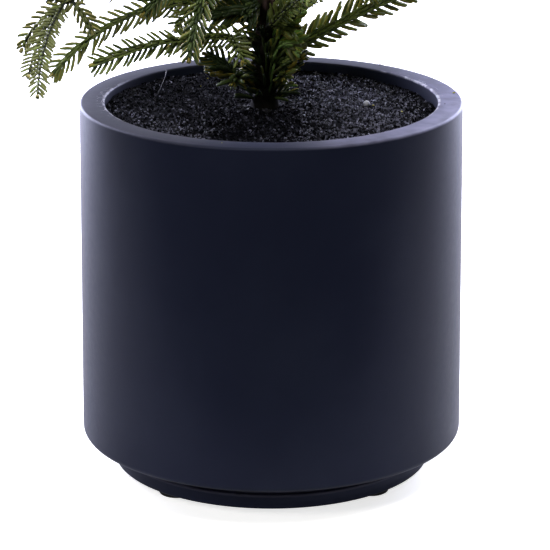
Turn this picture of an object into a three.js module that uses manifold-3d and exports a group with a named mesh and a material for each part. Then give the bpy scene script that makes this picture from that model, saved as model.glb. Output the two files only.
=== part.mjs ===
// An artificial Norfolk Island pine standing in a round planter.
// Millimetres, +Z up. The origin is the centre of the planter on the floor, and -Y is the front.
// The tree is one upright trunk with whorls of drooping boughs. Each bough carries one mass of
// needles: a stem with side twigs, every one a slim core with a comb of needle tufts on each side.
import * as THREE from "three";
import { mergeVertices } from "three/addons/utils/BufferGeometryUtils.js";
import Module from "manifold-3d";

const wasm = await Module();
wasm.setup();

// Clearance that neighbouring pieces keep.
const GAP = 0.3;

// ---------------------------------------------------------------- driving dimensions

// Planter: a plain drum on a recessed base ring with four round feet.
const RIM_RADIUS = 181;
const DRUM_FOOT_RADIUS = 183.5;
const INNER_RADIUS = 157.5;
const PLANTER_HEIGHT = 361;
const FOOT_HEIGHT = 6;
const FOOT_RADIUS = 17.5;
const FOOT_CIRCLE = 130;
const FOOT_TURN_DEG = 46.5;
const BASE_RADIUS = 153;
const BASE_LEDGE = 14;
const BASE_NECK_RADIUS = 148;
const DRUM_BOTTOM = 33.7;
const DRUM_FLOOR = 16;
const RIM_ROUND = 2.5;
const RIM_INNER_ROUND = 1.5;
const DRUM_FOOT_ROUND = 6;
const BASE_ROUND = 2;
const FOOT_ROUND = 2.5;
const PLANTER_FACETS = 60;
const FOOT_FACETS = 14;

// Soil: filled to just under the rim, a little higher at the left and round the trunk.
const SOIL_EDGE_HEIGHT = 350;
const SOIL_MOUND = 4;
const SOIL_MOUND_STEEPNESS = 1.6;
const SOIL_TILT = 3;
const SOIL_RIPPLE = 0.9;
const SOIL_RIPPLE_WIDTH = 19;
const SOIL_RIPPLE_DEPTH = 15;
const SOIL_CALM_STEEPNESS = 4;
const SOIL_FACETS = 32;

// Trunk: a straight tapering pole with a small root flare, cut flat where it leaves the soil.
const TRUNK_X = -5.6;
const TRUNK_FOOT = SOIL_EDGE_HEIGHT + SOIL_MOUND + GAP;
const TRUNK_TOP = 1330;
const TRUNK_RADIUS = 10.5;
const TRUNK_TIP_RADIUS = 2.6;
const FLARE_RADIUS = 4;
const FLARE_HEIGHT = 16;
const TRUNK_SWAY = 5;
const TRUNK_SIDE_SWAY = 3;
const TRUNK_FACETS = 12;
const TRUNK_RINGS = 13;
const TRUNK_RING_CROWDING = 2.1;

// Boughs and needle sprays.
const BOUGH_RADIUS = 4.2;
const BOUGH_TIP_RADIUS = 2.9;
const BOUGH_FACETS = 6;
const BOUGH_RINGS = 3;
const TUFT_LENGTH = 24;
const TUFT_PITCH = 33;
const TWIG_BARE = 13;
const STEM_BARE = 24;
const LAST_TWIG = 0.78;
const TUFT_SWEEP = 0.62;
const TUFT_AHEAD = 6.6;
const TUFT_LIFT = 1.5;
const LAST_TUFT = 0.62;
const TUFT_FULL_TO = 1;
const CORE_HALF_WIDTH = 2.6;
const CORE_THICKNESS = 3.6;
const CORE_TAPER = 0.45;
const TWIG_LEAVE_SPREAD = 7;
const TWIG_CURL_SPREAD = 5;
const TWIG_FALL_SPREAD = 9;
const TWIG_STAGGER = 0.012;
const TWIG_STAGGER_SPREAD = 0.025;
const TWIG_TUFT_MARGIN = 0.01;
const STEM_TILT_SPREAD = 0.08;
const TWIG_TILT = 0.75;
const TWIG_SHORTENING = 0.36;
const TWIG_LENGTH_SPREAD = 0.12;
const TWIG_CURL = 10;
const TWIG_RISE = 4;
const PATH_STEPS = 48;
const SMALLEST_EDGE = 0.01;
const SEED = 20117;
const LEADER_KEY = 20;
const SPRIG_KEY = 22;

// The whorls, from the lowest up. Heights are above the floor, angles in degrees and anticlockwise
// seen from above, from +X. A bough sets off at the slope `rise` and ends at the slope `fall`;
// the larger its `sag`, the nearer its tip it bends. `curl` turns it sideways on its way out.
// `bare` is the length without needles, and `pairs` the number of pairs of side twigs, which
// start at the share `first` of the mass, are `twig` times the reach, leave the stem at the
// angle `leave` and hang by `droop`. They grow to the `sides` -1, to the left, and 1.
// `roll` turns the comb of needles about its stem.
const WHORLS = [
  {
    bare: 30,
    pairs: 1,
    boughs: [
      { turn: 226, height: 415, rise: 20, fall: -11, reach: 215, curl: -5, sag: 0.9, twig: 0.28,
        roll: -67 },
      { turn: 176, height: 438, rise: 31, fall: -52, reach: 226, curl: 4, sag: 0.8, twig: 0.3,
        roll: -75 },
      { turn: 118, height: 430, rise: 24, fall: -24, reach: 280, curl: 8, pairs: 3 },
      { turn: 64, height: 424, rise: 24, fall: -14, reach: 268, curl: -6, pairs: 3, first: 0.3,
        droop: 30 },
      { turn: 16, height: 394, rise: 28, fall: 14, reach: 258, curl: 0, pairs: 0, roll: 68 },
      { turn: 290, height: 427, rise: 31, fall: 11, reach: 236, curl: -2, first: 0.7, twig: 0.3,
        droop: 30, roll: -84 },
    ],
  },
  {
    bare: 26,
    pairs: 3,
    boughs: [
      { turn: 204, height: 488, rise: -1, fall: -72, reach: 258, curl: -10, sag: 4, first: 0.749,
        pairs: 2, sides: [-1], twig: 0.8, leave: 64, droop: 10, roll: -69 },
      { turn: 250, height: 511, rise: 12, fall: -65, reach: 236, curl: 3, sag: 1.6, pairs: 2,
        sides: [1], roll: -26 },
      { turn: 318, height: 516, rise: 26, fall: -18, reach: 306, curl: -5 },
      { turn: 2, height: 522, rise: 22, fall: -24, reach: 322, curl: 6 },
      { turn: 88, height: 516, rise: 18, fall: -28, reach: 326, curl: -8 },
      { turn: 146, height: 512, rise: 17, fall: -30, reach: 328, curl: 5 },
    ],
  },
  { count: 5, turn: 30, height: 622, rise: 24, fall: -26, reach: 318, pairs: 3 },
  { count: 5, turn: 64, height: 738, rise: 28, fall: -20, reach: 288, pairs: 3 },
  { count: 4, turn: 25, height: 858, rise: 32, fall: -12, reach: 248, pairs: 2 },
  { count: 4, turn: 70, height: 978, rise: 36, fall: -4, reach: 206, pairs: 2 },
  { count: 3, turn: 15, height: 1098, rise: 40, fall: 6, reach: 166, pairs: 2 },
  { count: 3, turn: 75, height: 1216, rise: 46, fall: 18, reach: 126, pairs: 1 },
];
const LIMB_DEFAULTS = {
  sag: 1.2,
  first: 0.07,
  sides: [-1, 1],
  twig: 0.46,
  leave: 48,
  droop: 46,
  bare: 0,
  roll: 0,
};
const WHORL_TURN_SPREAD = 9;
const WHORL_HEIGHT_SPREAD = 14;
const WHORL_RISE_SPREAD = 5;
const WHORL_FALL_SPREAD = 7;
const WHORL_CURL_SPREAD = 10;
const WHORL_REACH_SPREAD = 0.08;

// The leader above the trunk's tip, and the short sprigs at the trunk's foot.
const LEADER = { turn: 40, curl: 0, rise: 89, fall: 84, reach: 128, pairs: 2, twig: 0.5 };
const SPRIGS = [
  { turn: 200, height: 366, rise: 44, fall: 6, reach: 62, curl: 0, pairs: 2, twig: 0.62 },
  { turn: 345, height: 364, rise: 54, fall: 42, reach: 52, curl: 0, pairs: 2, twig: 0.62 },
  { turn: 330, height: 398, rise: 58, fall: 46, reach: 112, curl: 0, pairs: 1, twig: 0.55 },
];

// ---------------------------------------------------------------- small helpers

const radians = THREE.MathUtils.degToRad;

// A repeatable value from 0 to 1 for a list of whole-number keys.
function chance(...keys) {
  let state = SEED;
  for (const key of keys) {
    state = Math.imul(state ^ (key + 2654435769), 2246822507) >>> 0;
    state = (state ^ (state >>> 13)) >>> 0;
  }
  state = Math.imul(state, 3266489909) >>> 0;
  return ((state ^ (state >>> 16)) >>> 0) / 4294967296;
}

function spread(size, ...keys) {
  return size * (2 * chance(...keys) - 1);
}

function solidFrom(geometry) {
  const bare = geometry.clone();
  bare.deleteAttribute("normal");
  bare.deleteAttribute("uv");
  const merged = mergeVertices(bare, 1e-4);
  const mesh = new wasm.Mesh({
    numProp: 3,
    vertProperties: new Float32Array(merged.attributes.position.array),
    triVerts: new Uint32Array(merged.index.array),
  });
  return new wasm.Manifold(mesh);
}

function geometryFrom(solid) {
  const mesh = solid.getMesh();
  const geometry = new THREE.BufferGeometry();
  geometry.setAttribute("position", new THREE.BufferAttribute(mesh.vertProperties, 3));
  geometry.setIndex(new THREE.BufferAttribute(mesh.triVerts, 1));
  return geometry;
}

function finish(color, roughness) {
  return new THREE.MeshStandardMaterial({ color, roughness, metalness: 0 });
}

const planterFinish = finish(0x191c27, 0.5);
const footFinish = finish(0x101116, 0.7);
const soilFinish = finish(0x17171b, 0.95);
const barkFinish = finish(0x4a3a36, 0.85);
const boughFinish = finish(0x1c2a17, 0.7);
const needleFinish = finish(0x39431d, 0.55);

const tree = new THREE.Group();

function addPiece(name, geometry, material) {
  const mesh = new THREE.Mesh(geometry, material);
  mesh.name = name;
  tree.add(mesh);
  return mesh;
}

// ---------------------------------------------------------------- planter and soil

// A quarter circle of profile points, from one angle to another, for a rounded edge.
function roundedEdge(centreRadius, centreHeight, radius, fromDeg, toDeg, steps = 2) {
  return Array.from({ length: steps + 1 }, (_, i) => {
    const angle = radians(fromDeg + ((toDeg - fromDeg) * i) / steps);
    return new THREE.Vector2(
      centreRadius + radius * Math.cos(angle),
      centreHeight + radius * Math.sin(angle),
    );
  });
}

// A turned solid. The profile runs from the axis at the bottom to the axis at the top.
function turned(profile, facets) {
  const geometry = new THREE.LatheGeometry(profile, facets);
  geometry.rotateX(Math.PI / 2);
  return geometry;
}

function drumProfile() {
  const floorTop = DRUM_BOTTOM + DRUM_FLOOR;
  return [
    new THREE.Vector2(0, DRUM_BOTTOM),
    ...roundedEdge(
      DRUM_FOOT_RADIUS - DRUM_FOOT_ROUND,
      DRUM_BOTTOM + DRUM_FOOT_ROUND,
      DRUM_FOOT_ROUND,
      -90,
      0,
      3,
    ),
    ...roundedEdge(RIM_RADIUS - RIM_ROUND, PLANTER_HEIGHT - RIM_ROUND, RIM_ROUND, 0, 90),
    ...roundedEdge(
      INNER_RADIUS + RIM_INNER_ROUND,
      PLANTER_HEIGHT - RIM_INNER_ROUND,
      RIM_INNER_ROUND,
      90,
      180,
      1,
    ),
    new THREE.Vector2(INNER_RADIUS, floorTop),
    new THREE.Vector2(0, floorTop),
  ];
}

function baseProfile() {
  const ledgeTop = FOOT_HEIGHT + BASE_LEDGE;
  return [
    new THREE.Vector2(0, FOOT_HEIGHT),
    ...roundedEdge(BASE_RADIUS - BASE_ROUND, FOOT_HEIGHT + BASE_ROUND, BASE_ROUND, -90, 0, 1),
    ...roundedEdge(BASE_RADIUS - BASE_ROUND, ledgeTop - BASE_ROUND, BASE_ROUND, 0, 90, 1),
    new THREE.Vector2(BASE_NECK_RADIUS, ledgeTop),
    new THREE.Vector2(BASE_NECK_RADIUS, DRUM_BOTTOM - GAP),
    new THREE.Vector2(0, DRUM_BOTTOM - GAP),
  ];
}

function footProfile() {
  return [
    new THREE.Vector2(0, 0),
    ...roundedEdge(FOOT_RADIUS - FOOT_ROUND, FOOT_ROUND, FOOT_ROUND, -90, 0, 2),
    new THREE.Vector2(FOOT_RADIUS, FOOT_HEIGHT - GAP),
    new THREE.Vector2(0, FOOT_HEIGHT - GAP),
  ];
}

// The height that the soil's top surface adds at a place: a low mound at the trunk and a
// gentle fall from the back left to the front right.
function soilRelief(x, y) {
  const share = Math.hypot(x, y) / INNER_RADIUS;
  const mound = SOIL_MOUND * Math.max(0, 1 - share * SOIL_MOUND_STEEPNESS);
  const tilt = (SOIL_TILT * (y - x)) / (INNER_RADIUS * Math.SQRT2);
  const ripple = SOIL_RIPPLE * Math.sin(x / SOIL_RIPPLE_WIDTH) * Math.cos(y / SOIL_RIPPLE_DEPTH);
  const awayFromTrunk = THREE.MathUtils.clamp(share * SOIL_CALM_STEEPNESS - 1, 0, 1);
  return mound + (tilt + ripple) * awayFromTrunk;
}

function soilGeometry() {
  const radius = INNER_RADIUS - GAP;
  const bottom = DRUM_BOTTOM + DRUM_FLOOR + GAP;
  const rings = [1, 0.86, 0.68, 0.48, 0.3, 0.16];
  const profile = [
    new THREE.Vector2(0, bottom),
    new THREE.Vector2(radius, bottom),
    ...rings.map((share) => new THREE.Vector2(radius * share, SOIL_EDGE_HEIGHT)),
    new THREE.Vector2(0, SOIL_EDGE_HEIGHT),
  ];
  const geometry = turned(profile, SOIL_FACETS);
  const place = geometry.attributes.position;
  for (let i = 0; i < place.count; i += 1) {
    if (place.getZ(i) > bottom + 1) {
      place.setZ(i, place.getZ(i) + soilRelief(place.getX(i), place.getY(i)));
    }
  }
  return geometry;
}

addPiece("planter_drum", turned(drumProfile(), PLANTER_FACETS), planterFinish);
addPiece("planter_base", turned(baseProfile(), PLANTER_FACETS), planterFinish);
for (let i = 0; i < 4; i += 1) {
  const foot = addPiece(`planter_foot_${i + 1}`, turned(footProfile(), FOOT_FACETS), footFinish);
  const angle = radians(FOOT_TURN_DEG + 90 * i);
  foot.position.set(FOOT_CIRCLE * Math.cos(angle), FOOT_CIRCLE * Math.sin(angle), 0);
}
addPiece("soil", soilGeometry(), soilFinish);

// ---------------------------------------------------------------- trunk

// The trunk's axis sways a little on its way up.
function trunkAxis(height) {
  const share = (height - TRUNK_FOOT) / (TRUNK_TOP - TRUNK_FOOT);
  return new THREE.Vector3(
    TRUNK_X + TRUNK_SWAY * Math.sin(share * Math.PI * 1.5) * share,
    TRUNK_SIDE_SWAY * Math.sin(share * Math.PI * 2.2) * share,
    height,
  );
}

function trunkRadius(height) {
  const share = (height - TRUNK_FOOT) / (TRUNK_TOP - TRUNK_FOOT);
  const flare = FLARE_RADIUS * Math.exp(-(height - TRUNK_FOOT) / FLARE_HEIGHT);
  return TRUNK_RADIUS + (TRUNK_TIP_RADIUS - TRUNK_RADIUS) * share + flare;
}

// The trunk as a turned pole that follows its axis, made thicker by an extra all round. Its
// rings stand close together in the flare and further apart above.
function trunkSolid(extra) {
  const length = TRUNK_TOP - TRUNK_FOOT;
  const rings = Array.from({ length: TRUNK_RINGS + 1 }, (_, i) => {
    const up = length * (i / TRUNK_RINGS) ** TRUNK_RING_CROWDING;
    const past = i === 0 ? -extra : i === TRUNK_RINGS ? extra : 0;
    return new THREE.Vector2(trunkRadius(TRUNK_FOOT + up) + extra, TRUNK_FOOT + up + past);
  });
  const profile = [
    new THREE.Vector2(0, TRUNK_FOOT - extra),
    ...rings,
    new THREE.Vector2(0, TRUNK_TOP + extra),
  ];
  const geometry = turned(profile, TRUNK_FACETS);
  const place = geometry.attributes.position;
  for (let i = 0; i < place.count; i += 1) {
    const axis = trunkAxis(place.getZ(i));
    place.setX(i, place.getX(i) + axis.x);
    place.setY(i, place.getY(i) + axis.y);
  }
  return solidFrom(geometry);
}

const trunk = trunkSolid(0);
const trunkClearance = trunkSolid(GAP);
addPiece("trunk", geometryFrom(trunk), barkFinish);

// ---------------------------------------------------------------- paths of boughs and twigs

const UP = new THREE.Vector3(0, 0, 1);

// The direction of a compass turn and a slope, both in degrees.
function heading(turn, slope) {
  return new THREE.Vector3(
    Math.cos(radians(slope)) * Math.cos(radians(turn)),
    Math.cos(radians(slope)) * Math.sin(radians(turn)),
    Math.sin(radians(slope)),
  );
}

// The points of a limb whose slope and turn change steadily along its length.
function limbPath(start, limb) {
  const points = [start.clone()];
  for (let i = 0; i < PATH_STEPS; i += 1) {
    const share = (i + 0.5) / PATH_STEPS;
    const slope = limb.rise + (limb.fall - limb.rise) * share ** limb.sag;
    const step = heading(limb.turn + limb.curl * share, slope);
    points.push(points[i].clone().addScaledVector(step, limb.reach / PATH_STEPS));
  }
  return points;
}

// The place and axes of a path at a share of its length: along, sideways and up.
function frameAt(points, share) {
  const spot = Math.min(Math.max(share, 0), 1) * (points.length - 1);
  const index = Math.min(Math.floor(spot), points.length - 2);
  const along = points[index + 1].clone().sub(points[index]).normalize();
  const point = points[index].clone().lerp(points[index + 1], spot - index);
  const side = new THREE.Vector3().crossVectors(along, UP);
  if (side.lengthSq() < 1e-4) {
    side.set(1, 0, 0);
  }
  side.normalize();
  const up = new THREE.Vector3().crossVectors(side, along).normalize();
  return { point, along, side, up };
}

// A round limb that tapers from one share of a path to another.
function limbSolid(points, from, to, startRadius, endRadius) {
  const geometry = new THREE.CylinderGeometry(1, 1, 1, BOUGH_FACETS, BOUGH_RINGS);
  const place = geometry.attributes.position;
  for (let i = 0; i < place.count; i += 1) {
    const share = place.getY(i) + 0.5;
    const radius = startRadius + (endRadius - startRadius) * share;
    const frame = frameAt(points, from + (to - from) * share);
    const out = frame.point
      .clone()
      .addScaledVector(frame.side, place.getX(i) * radius)
      .addScaledVector(frame.up, place.getZ(i) * radius);
    place.setXYZ(i, out.x, out.y, out.z);
  }
  return solidFrom(geometry);
}

// ---------------------------------------------------------------- needle sprays

// The shares of a path at which the steps of a spray begin. The first step of a side twig is
// short and bare.
function sprayStations(from, to, tufts, bareShare) {
  const first = bareShare > 0 ? [from] : [];
  const start = from + bareShare;
  const steps = Array.from({ length: tufts }, (_, i) => start + ((to - start) * i) / tufts);
  return [...first, ...steps];
}

// One spray: a slim three-sided core along a path, with a swept tuft of needles on each side of
// every step. The tufts grow short towards the tip, where the core ends in a point. `skips`
// says, for a side and a step's two shares, where a twig takes the place of a tuft.
function spraySolid(points, stations, to, tilt, bare, skips = () => false) {
  const vertices = [];
  const faces = [];
  const put = (vector) => vertices.push(vector.x, vector.y, vector.z) / 3 - 1;
  const rings = stations.map((share, i) => {
    const frame = frameAt(points, share);
    const side = frame.side.clone().applyAxisAngle(frame.along, tilt);
    const up = frame.up.clone().applyAxisAngle(frame.along, tilt);
    const gone = i / stations.length;
    const slim = 1 - CORE_TAPER * gone;
    const at = (vector, size) => put(frame.point.clone().addScaledVector(vector, size));
    const length = TUFT_LENGTH * Math.min(1, LAST_TUFT + (TUFT_FULL_TO - gone) / 2);
    const ring = {
      left: at(side, -CORE_HALF_WIDTH * slim),
      right: at(side, CORE_HALF_WIDTH * slim),
      top: at(up, CORE_THICKNESS * slim),
    };
    const tuft = (direction) =>
      put(
        frame.point
          .clone()
          .addScaledVector(side, direction * length * Math.cos(TUFT_SWEEP))
          .addScaledVector(frame.along, length * Math.sin(TUFT_SWEEP) + TUFT_AHEAD)
          .addScaledVector(up, TUFT_LIFT),
      );
    const plain = bare && i === 0;
    const next = stations[i + 1] ?? to;
    ring.leftTuft = plain || skips(-1, share, next) ? ring.left : tuft(-1);
    ring.rightTuft = plain || skips(1, share, next) ? ring.right : tuft(1);
    return ring;
  });
  const apex = put(frameAt(points, to).point);
  const tipRing = { left: apex, right: apex, top: apex };
  const face = (a, b, c) => {
    if (a !== b && b !== c && a !== c) {
      faces.push(a, b, c);
    }
  };
  rings.forEach((ring, i) => {
    const next = rings[i + 1] ?? tipRing;
    face(ring.top, ring.leftTuft, ring.left);
    face(ring.top, next.left, ring.leftTuft);
    face(ring.top, next.top, next.left);
    face(ring.top, ring.right, ring.rightTuft);
    face(ring.top, ring.rightTuft, next.right);
    face(ring.top, next.right, next.top);
    face(ring.left, ring.leftTuft, next.left);
    face(ring.right, next.right, ring.rightTuft);
    face(ring.left, next.left, ring.right);
    face(ring.right, next.left, next.right);
  });
  face(rings[0].left, rings[0].right, rings[0].top);
  const mesh = new wasm.Mesh({
    numProp: 3,
    vertProperties: new Float32Array(vertices),
    triVerts: new Uint32Array(faces),
  });
  return new wasm.Manifold(mesh);
}

// A side twig: it leaves the stem forwards and sideways, and then hangs.
function twigPath(frame, direction, length, limb, keys) {
  const leave = radians(limb.leave + spread(TWIG_LEAVE_SPREAD, ...keys, 1));
  const away = frame.along
    .clone()
    .multiplyScalar(Math.cos(leave))
    .addScaledVector(frame.side, direction * Math.sin(leave));
  const turn = THREE.MathUtils.radToDeg(Math.atan2(away.y, away.x));
  const slope = THREE.MathUtils.radToDeg(Math.asin(THREE.MathUtils.clamp(away.z, -1, 1)));
  return limbPath(frame.point, {
    turn,
    curl: -direction * TWIG_CURL + spread(TWIG_CURL_SPREAD, ...keys, 2),
    rise: slope + TWIG_RISE,
    fall: slope - limb.droop + spread(TWIG_FALL_SPREAD, ...keys, 3),
    sag: LIMB_DEFAULTS.sag,
    reach: length,
  });
}

// ---------------------------------------------------------------- masses of needles

// Where the side twigs of a mass leave its stem, as shares of the stem's path.
function twigPlaces(from, limb, keys) {
  const { pairs, first, sides } = limb;
  const places = [];
  for (let pair = 0; pair < pairs; pair += 1) {
    for (const direction of sides) {
      const twigKeys = [...keys, pair, direction + 1];
      const stagger = spread(TWIG_STAGGER_SPREAD, ...twigKeys, 4) + direction * TWIG_STAGGER;
      const along = first + ((LAST_TWIG - first) * pair) / pairs + stagger;
      const share = from + (1 - from) * along;
      places.push({ share, direction, keys: twigKeys });
    }
  }
  return places;
}

// The stem of a mass, combed with tufts except where a twig leaves it. A stem that grows
// straight from the trunk starts bare, a gap away from the bark.
function growStem(mass) {
  const takesTuft = (direction, start, end) =>
    mass.places.some(
      (p) => p.direction === direction && p.share >= start - TWIG_TUFT_MARGIN && p.share < end,
    );
  const bareShare = mass.fromTrunk ? STEM_BARE / mass.reach : 0;
  const tufts = Math.max(3, Math.round(((1 - mass.from) * mass.reach) / TUFT_PITCH));
  const stations = sprayStations(mass.from, 1, tufts, bareShare);
  const tilt = radians(mass.roll) + spread(STEM_TILT_SPREAD, ...mass.keys, 9);
  const stem = spraySolid(mass.points, stations, 1, tilt, mass.fromTrunk, takesTuft);
  return mass.fromTrunk ? stem.subtract(trunkClearance) : stem;
}

function boxesMeet(a, b) {
  return [0, 1, 2].every((k) => a.min[k] - GAP <= b.max[k] && b.min[k] - GAP <= a.max[k]);
}

// Whether a new spray of a mass keeps clear of the limbs and of every other mass.
function staysClear(spray, mass, limbs, masses) {
  const box = spray.boundingBox();
  const clearOf = (solid) =>
    !boxesMeet(box, solid.boundingBox()) || spray.minGap(solid, 2 * GAP) > GAP;
  return limbs.every(clearOf) && masses.every((other) => other === mass || clearOf(other.solid));
}

// Adds the side twigs of a mass. One that would come within the gap of a neighbour is tried
// shorter, and left out if a two-tuft twig would still touch.
function growTwigs(mass, limbs, masses) {
  for (const place of mass.places) {
    const frame = frameAt(mass.points, place.share);
    const outer = TWIG_SHORTENING * (place.share - mass.from);
    const vigour = 1 - outer + spread(TWIG_LENGTH_SPREAD, ...place.keys, 5);
    const full = mass.twig * mass.reach * vigour;
    const path = twigPath(frame, place.direction, full, mass, place.keys);
    const most = Math.max(2, Math.round((full - TWIG_BARE) / TUFT_PITCH));
    const tilt = spread(TWIG_TILT, ...place.keys, 6);
    for (let tufts = most; tufts >= 2; tufts -= 1) {
      const tip = (TWIG_BARE + ((full - TWIG_BARE) * tufts) / most) / full;
      const stations = sprayStations(0, tip, tufts, TWIG_BARE / full);
      const twig = spraySolid(path, stations, tip, tilt, true);
      if (staysClear(twig, mass, limbs, masses)) {
        mass.solid = mass.solid.add(twig);
        break;
      }
    }
  }
}

// ---------------------------------------------------------------- the crown

// The limbs of a whorl: those with sizes of their own, or as many as it has, evenly turned.
function whorlLimbs(whorl, index) {
  if (whorl.boughs) {
    return whorl.boughs.map((bough) => ({ pairs: whorl.pairs, bare: whorl.bare, ...bough }));
  }
  return Array.from({ length: whorl.count }, (_, i) => ({
    pairs: whorl.pairs,
    turn: whorl.turn + (360 * i) / whorl.count + spread(WHORL_TURN_SPREAD, index, i, 11),
    height: whorl.height + spread(WHORL_HEIGHT_SPREAD, index, i, 12),
    rise: whorl.rise + spread(WHORL_RISE_SPREAD, index, i, 13),
    fall: whorl.fall + spread(WHORL_FALL_SPREAD, index, i, 14),
    reach: whorl.reach * (1 + spread(WHORL_REACH_SPREAD, index, i, 15)),
    curl: spread(WHORL_CURL_SPREAD, index, i, 16),
  }));
}

const limbs = [trunk];
const masses = [];

// Sets out a mass on a limb, and first makes the bough that carries it, if the limb has one.
function addLimb(names, start, sizes, keys, fromTrunk = !sizes.bare) {
  const limb = { ...LIMB_DEFAULTS, ...sizes };
  const points = limbPath(start, limb);
  let from = 0;
  if (limb.bare > 0) {
    const end = (limb.bare + trunkRadius(limb.height)) / limb.reach;
    const whole = limbSolid(points, 0, end, BOUGH_RADIUS, BOUGH_TIP_RADIUS);
    const bough = whole.subtract(trunkClearance);
    limbs.push(bough);
    addPiece(names.bough, geometryFrom(bough), boughFinish);
    from = end + GAP / limb.reach;
  }
  const places = twigPlaces(from, limb, keys);
  masses.push({ ...limb, name: names.mass, points, from, keys, places, fromTrunk });
}

WHORLS.forEach((whorl, index) => {
  whorlLimbs(whorl, index).forEach((limb, i) => {
    const names = {
      bough: `whorl${index + 1}_bough_${i + 1}`,
      mass: `whorl${index + 1}_needles_${i + 1}`,
    };
    addLimb(names, trunkAxis(limb.height), limb, [index, i]);
  });
});

// The leader goes on from the trunk's tip, and the sprigs grow low on the trunk.
const leaderStart = trunkAxis(TRUNK_TOP).add(new THREE.Vector3(0, 0, GAP));
addLimb({ mass: "leader_needles" }, leaderStart, LEADER, [LEADER_KEY, 0], false);
SPRIGS.forEach((sprig, i) => {
  addLimb({ mass: `foot_sprig_${i + 1}` }, trunkAxis(sprig.height), sprig, [SPRIG_KEY, i]);
});

// Every stem first, so that no twig grows where a stem will be.
masses.forEach((mass) => {
  mass.solid = growStem(mass);
});
masses.forEach((mass) => {
  growTwigs(mass, limbs, masses);
  const whole = mass.solid.simplify(SMALLEST_EDGE).decompose();
  mass.solid = whole.sort((a, b) => b.volume() - a.volume())[0];
  addPiece(mass.name, geometryFrom(mass.solid), needleFinish);
});

export default tree;
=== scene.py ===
# %% [markdown]
# # An artificial Norfolk Island pine in a round planter
#
# The tree is a straight trunk with whorls of drooping boughs, and every bough and twig is
# combed with moulded needles. It stands in a heavy drum planter filled with black granules.
# The planter and the trunk are shaped with Blender's mesh operators, and the thousands of
# needles are one small model, copied by arrays along twigs that grow by a fixed rule.
#
# The first cell loads the frame. Everything after it is in metres, in the frame's own axes:
# +Z is up, -Y is the front, and the floor is at zero.

# %% Load the frame
import math

import bmesh
import bpy
import numpy as np
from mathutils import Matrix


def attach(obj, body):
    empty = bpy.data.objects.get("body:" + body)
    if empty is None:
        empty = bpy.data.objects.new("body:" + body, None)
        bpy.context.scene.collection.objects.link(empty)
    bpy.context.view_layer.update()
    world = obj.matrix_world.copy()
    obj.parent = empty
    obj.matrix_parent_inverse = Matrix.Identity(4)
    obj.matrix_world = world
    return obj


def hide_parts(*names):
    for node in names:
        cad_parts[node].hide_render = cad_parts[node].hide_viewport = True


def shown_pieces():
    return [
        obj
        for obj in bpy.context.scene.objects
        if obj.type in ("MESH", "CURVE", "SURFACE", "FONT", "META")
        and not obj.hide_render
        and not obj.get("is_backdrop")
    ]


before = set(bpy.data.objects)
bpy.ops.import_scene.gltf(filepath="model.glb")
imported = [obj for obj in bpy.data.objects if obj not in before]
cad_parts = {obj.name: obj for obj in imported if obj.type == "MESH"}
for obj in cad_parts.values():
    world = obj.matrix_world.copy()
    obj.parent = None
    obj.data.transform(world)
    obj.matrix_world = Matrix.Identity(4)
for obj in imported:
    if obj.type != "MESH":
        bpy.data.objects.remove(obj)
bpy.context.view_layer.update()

MM = 0.001

# %% [markdown]
# ## Small tools for the bench
#
# Blender's operators act on whatever is selected. So each step first lays everything aside,
# and then opens only the piece that it works on. Faces and edges are picked by their place,
# because a script has no mouse.

# %% Helpers for selecting and editing


def lay_aside():
    """Back to object mode, with nothing selected."""
    if bpy.context.object and bpy.context.object.mode != "OBJECT":
        bpy.ops.object.mode_set(mode="OBJECT")
    bpy.ops.object.select_all(action="DESELECT")


def take(piece):
    """Makes one piece the selected and active one."""
    lay_aside()
    piece.select_set(True)
    bpy.context.view_layer.objects.active = piece


def named(name):
    """Gives the piece that an operator has just added its name."""
    piece = bpy.context.object
    piece.name = piece.data.name = name
    return piece


def edit(piece, kind="FACE"):
    """Opens a piece in edit mode with nothing selected."""
    take(piece)
    bpy.ops.object.mode_set(mode="EDIT")
    bpy.ops.mesh.select_mode(type=kind)
    bpy.ops.mesh.select_all(action="DESELECT")


def pick_faces(piece, wanted):
    """Selects the faces whose centre and normal pass a test."""
    shape = bmesh.from_edit_mesh(piece.data)
    for face in shape.faces:
        face.select_set(bool(wanted(face.calc_center_median(), face.normal)))
    bmesh.update_edit_mesh(piece.data)


def pick_edges(piece, wanted):
    """Selects the edges whose two ends pass a test."""
    shape = bmesh.from_edit_mesh(piece.data)
    for edge in shape.edges:
        edge.select_set(bool(wanted(edge.verts[0].co, edge.verts[1].co)))
    bmesh.update_edit_mesh(piece.data)


def corners_of(piece):
    """The corners of a piece as an array."""
    return np.array([vertex.co for vertex in piece.data.vertices])


def move_corners(piece, points):
    """Moves every corner of a piece to its place in an array."""
    piece.data.vertices.foreach_set("co", points.ravel())
    piece.data.update()


def settle(piece, smooth_angle=35):
    """Puts a piece's place into its mesh, turns its faces outward and smooths it."""
    take(piece)
    bpy.ops.object.transform_apply(location=True, rotation=True, scale=True)
    bpy.ops.object.mode_set(mode="EDIT")
    bpy.ops.mesh.select_all(action="SELECT")
    bpy.ops.mesh.normals_make_consistent(inside=False)
    bpy.ops.object.mode_set(mode="OBJECT")
    bpy.ops.object.shade_smooth_by_angle(angle=math.radians(smooth_angle))
    return piece


def triangles(piece):
    """How many triangles a piece has."""
    return sum(len(face.vertices) - 2 for face in piece.data.polygons)


def dress(piece, slot, *nodes):
    """Hands a finished piece to the frame, in place of the CAD nodes it stands for."""
    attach(piece, "root")
    if nodes:
        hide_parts(*nodes)
    print(piece.name, triangles(piece), "triangles, stands for", len(nodes), "nodes")


lay_aside()
print("bench ready")

# %% [markdown]
# ## Writing finishes as sums
#
# A finish is a small network of shader nodes. Wiring it by hand takes many lines, so three
# classes help: `Value` wraps an output and understands +, -, * and /, `Graph` adds any node,
# and `Finish` makes a material and its patterns.

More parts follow.
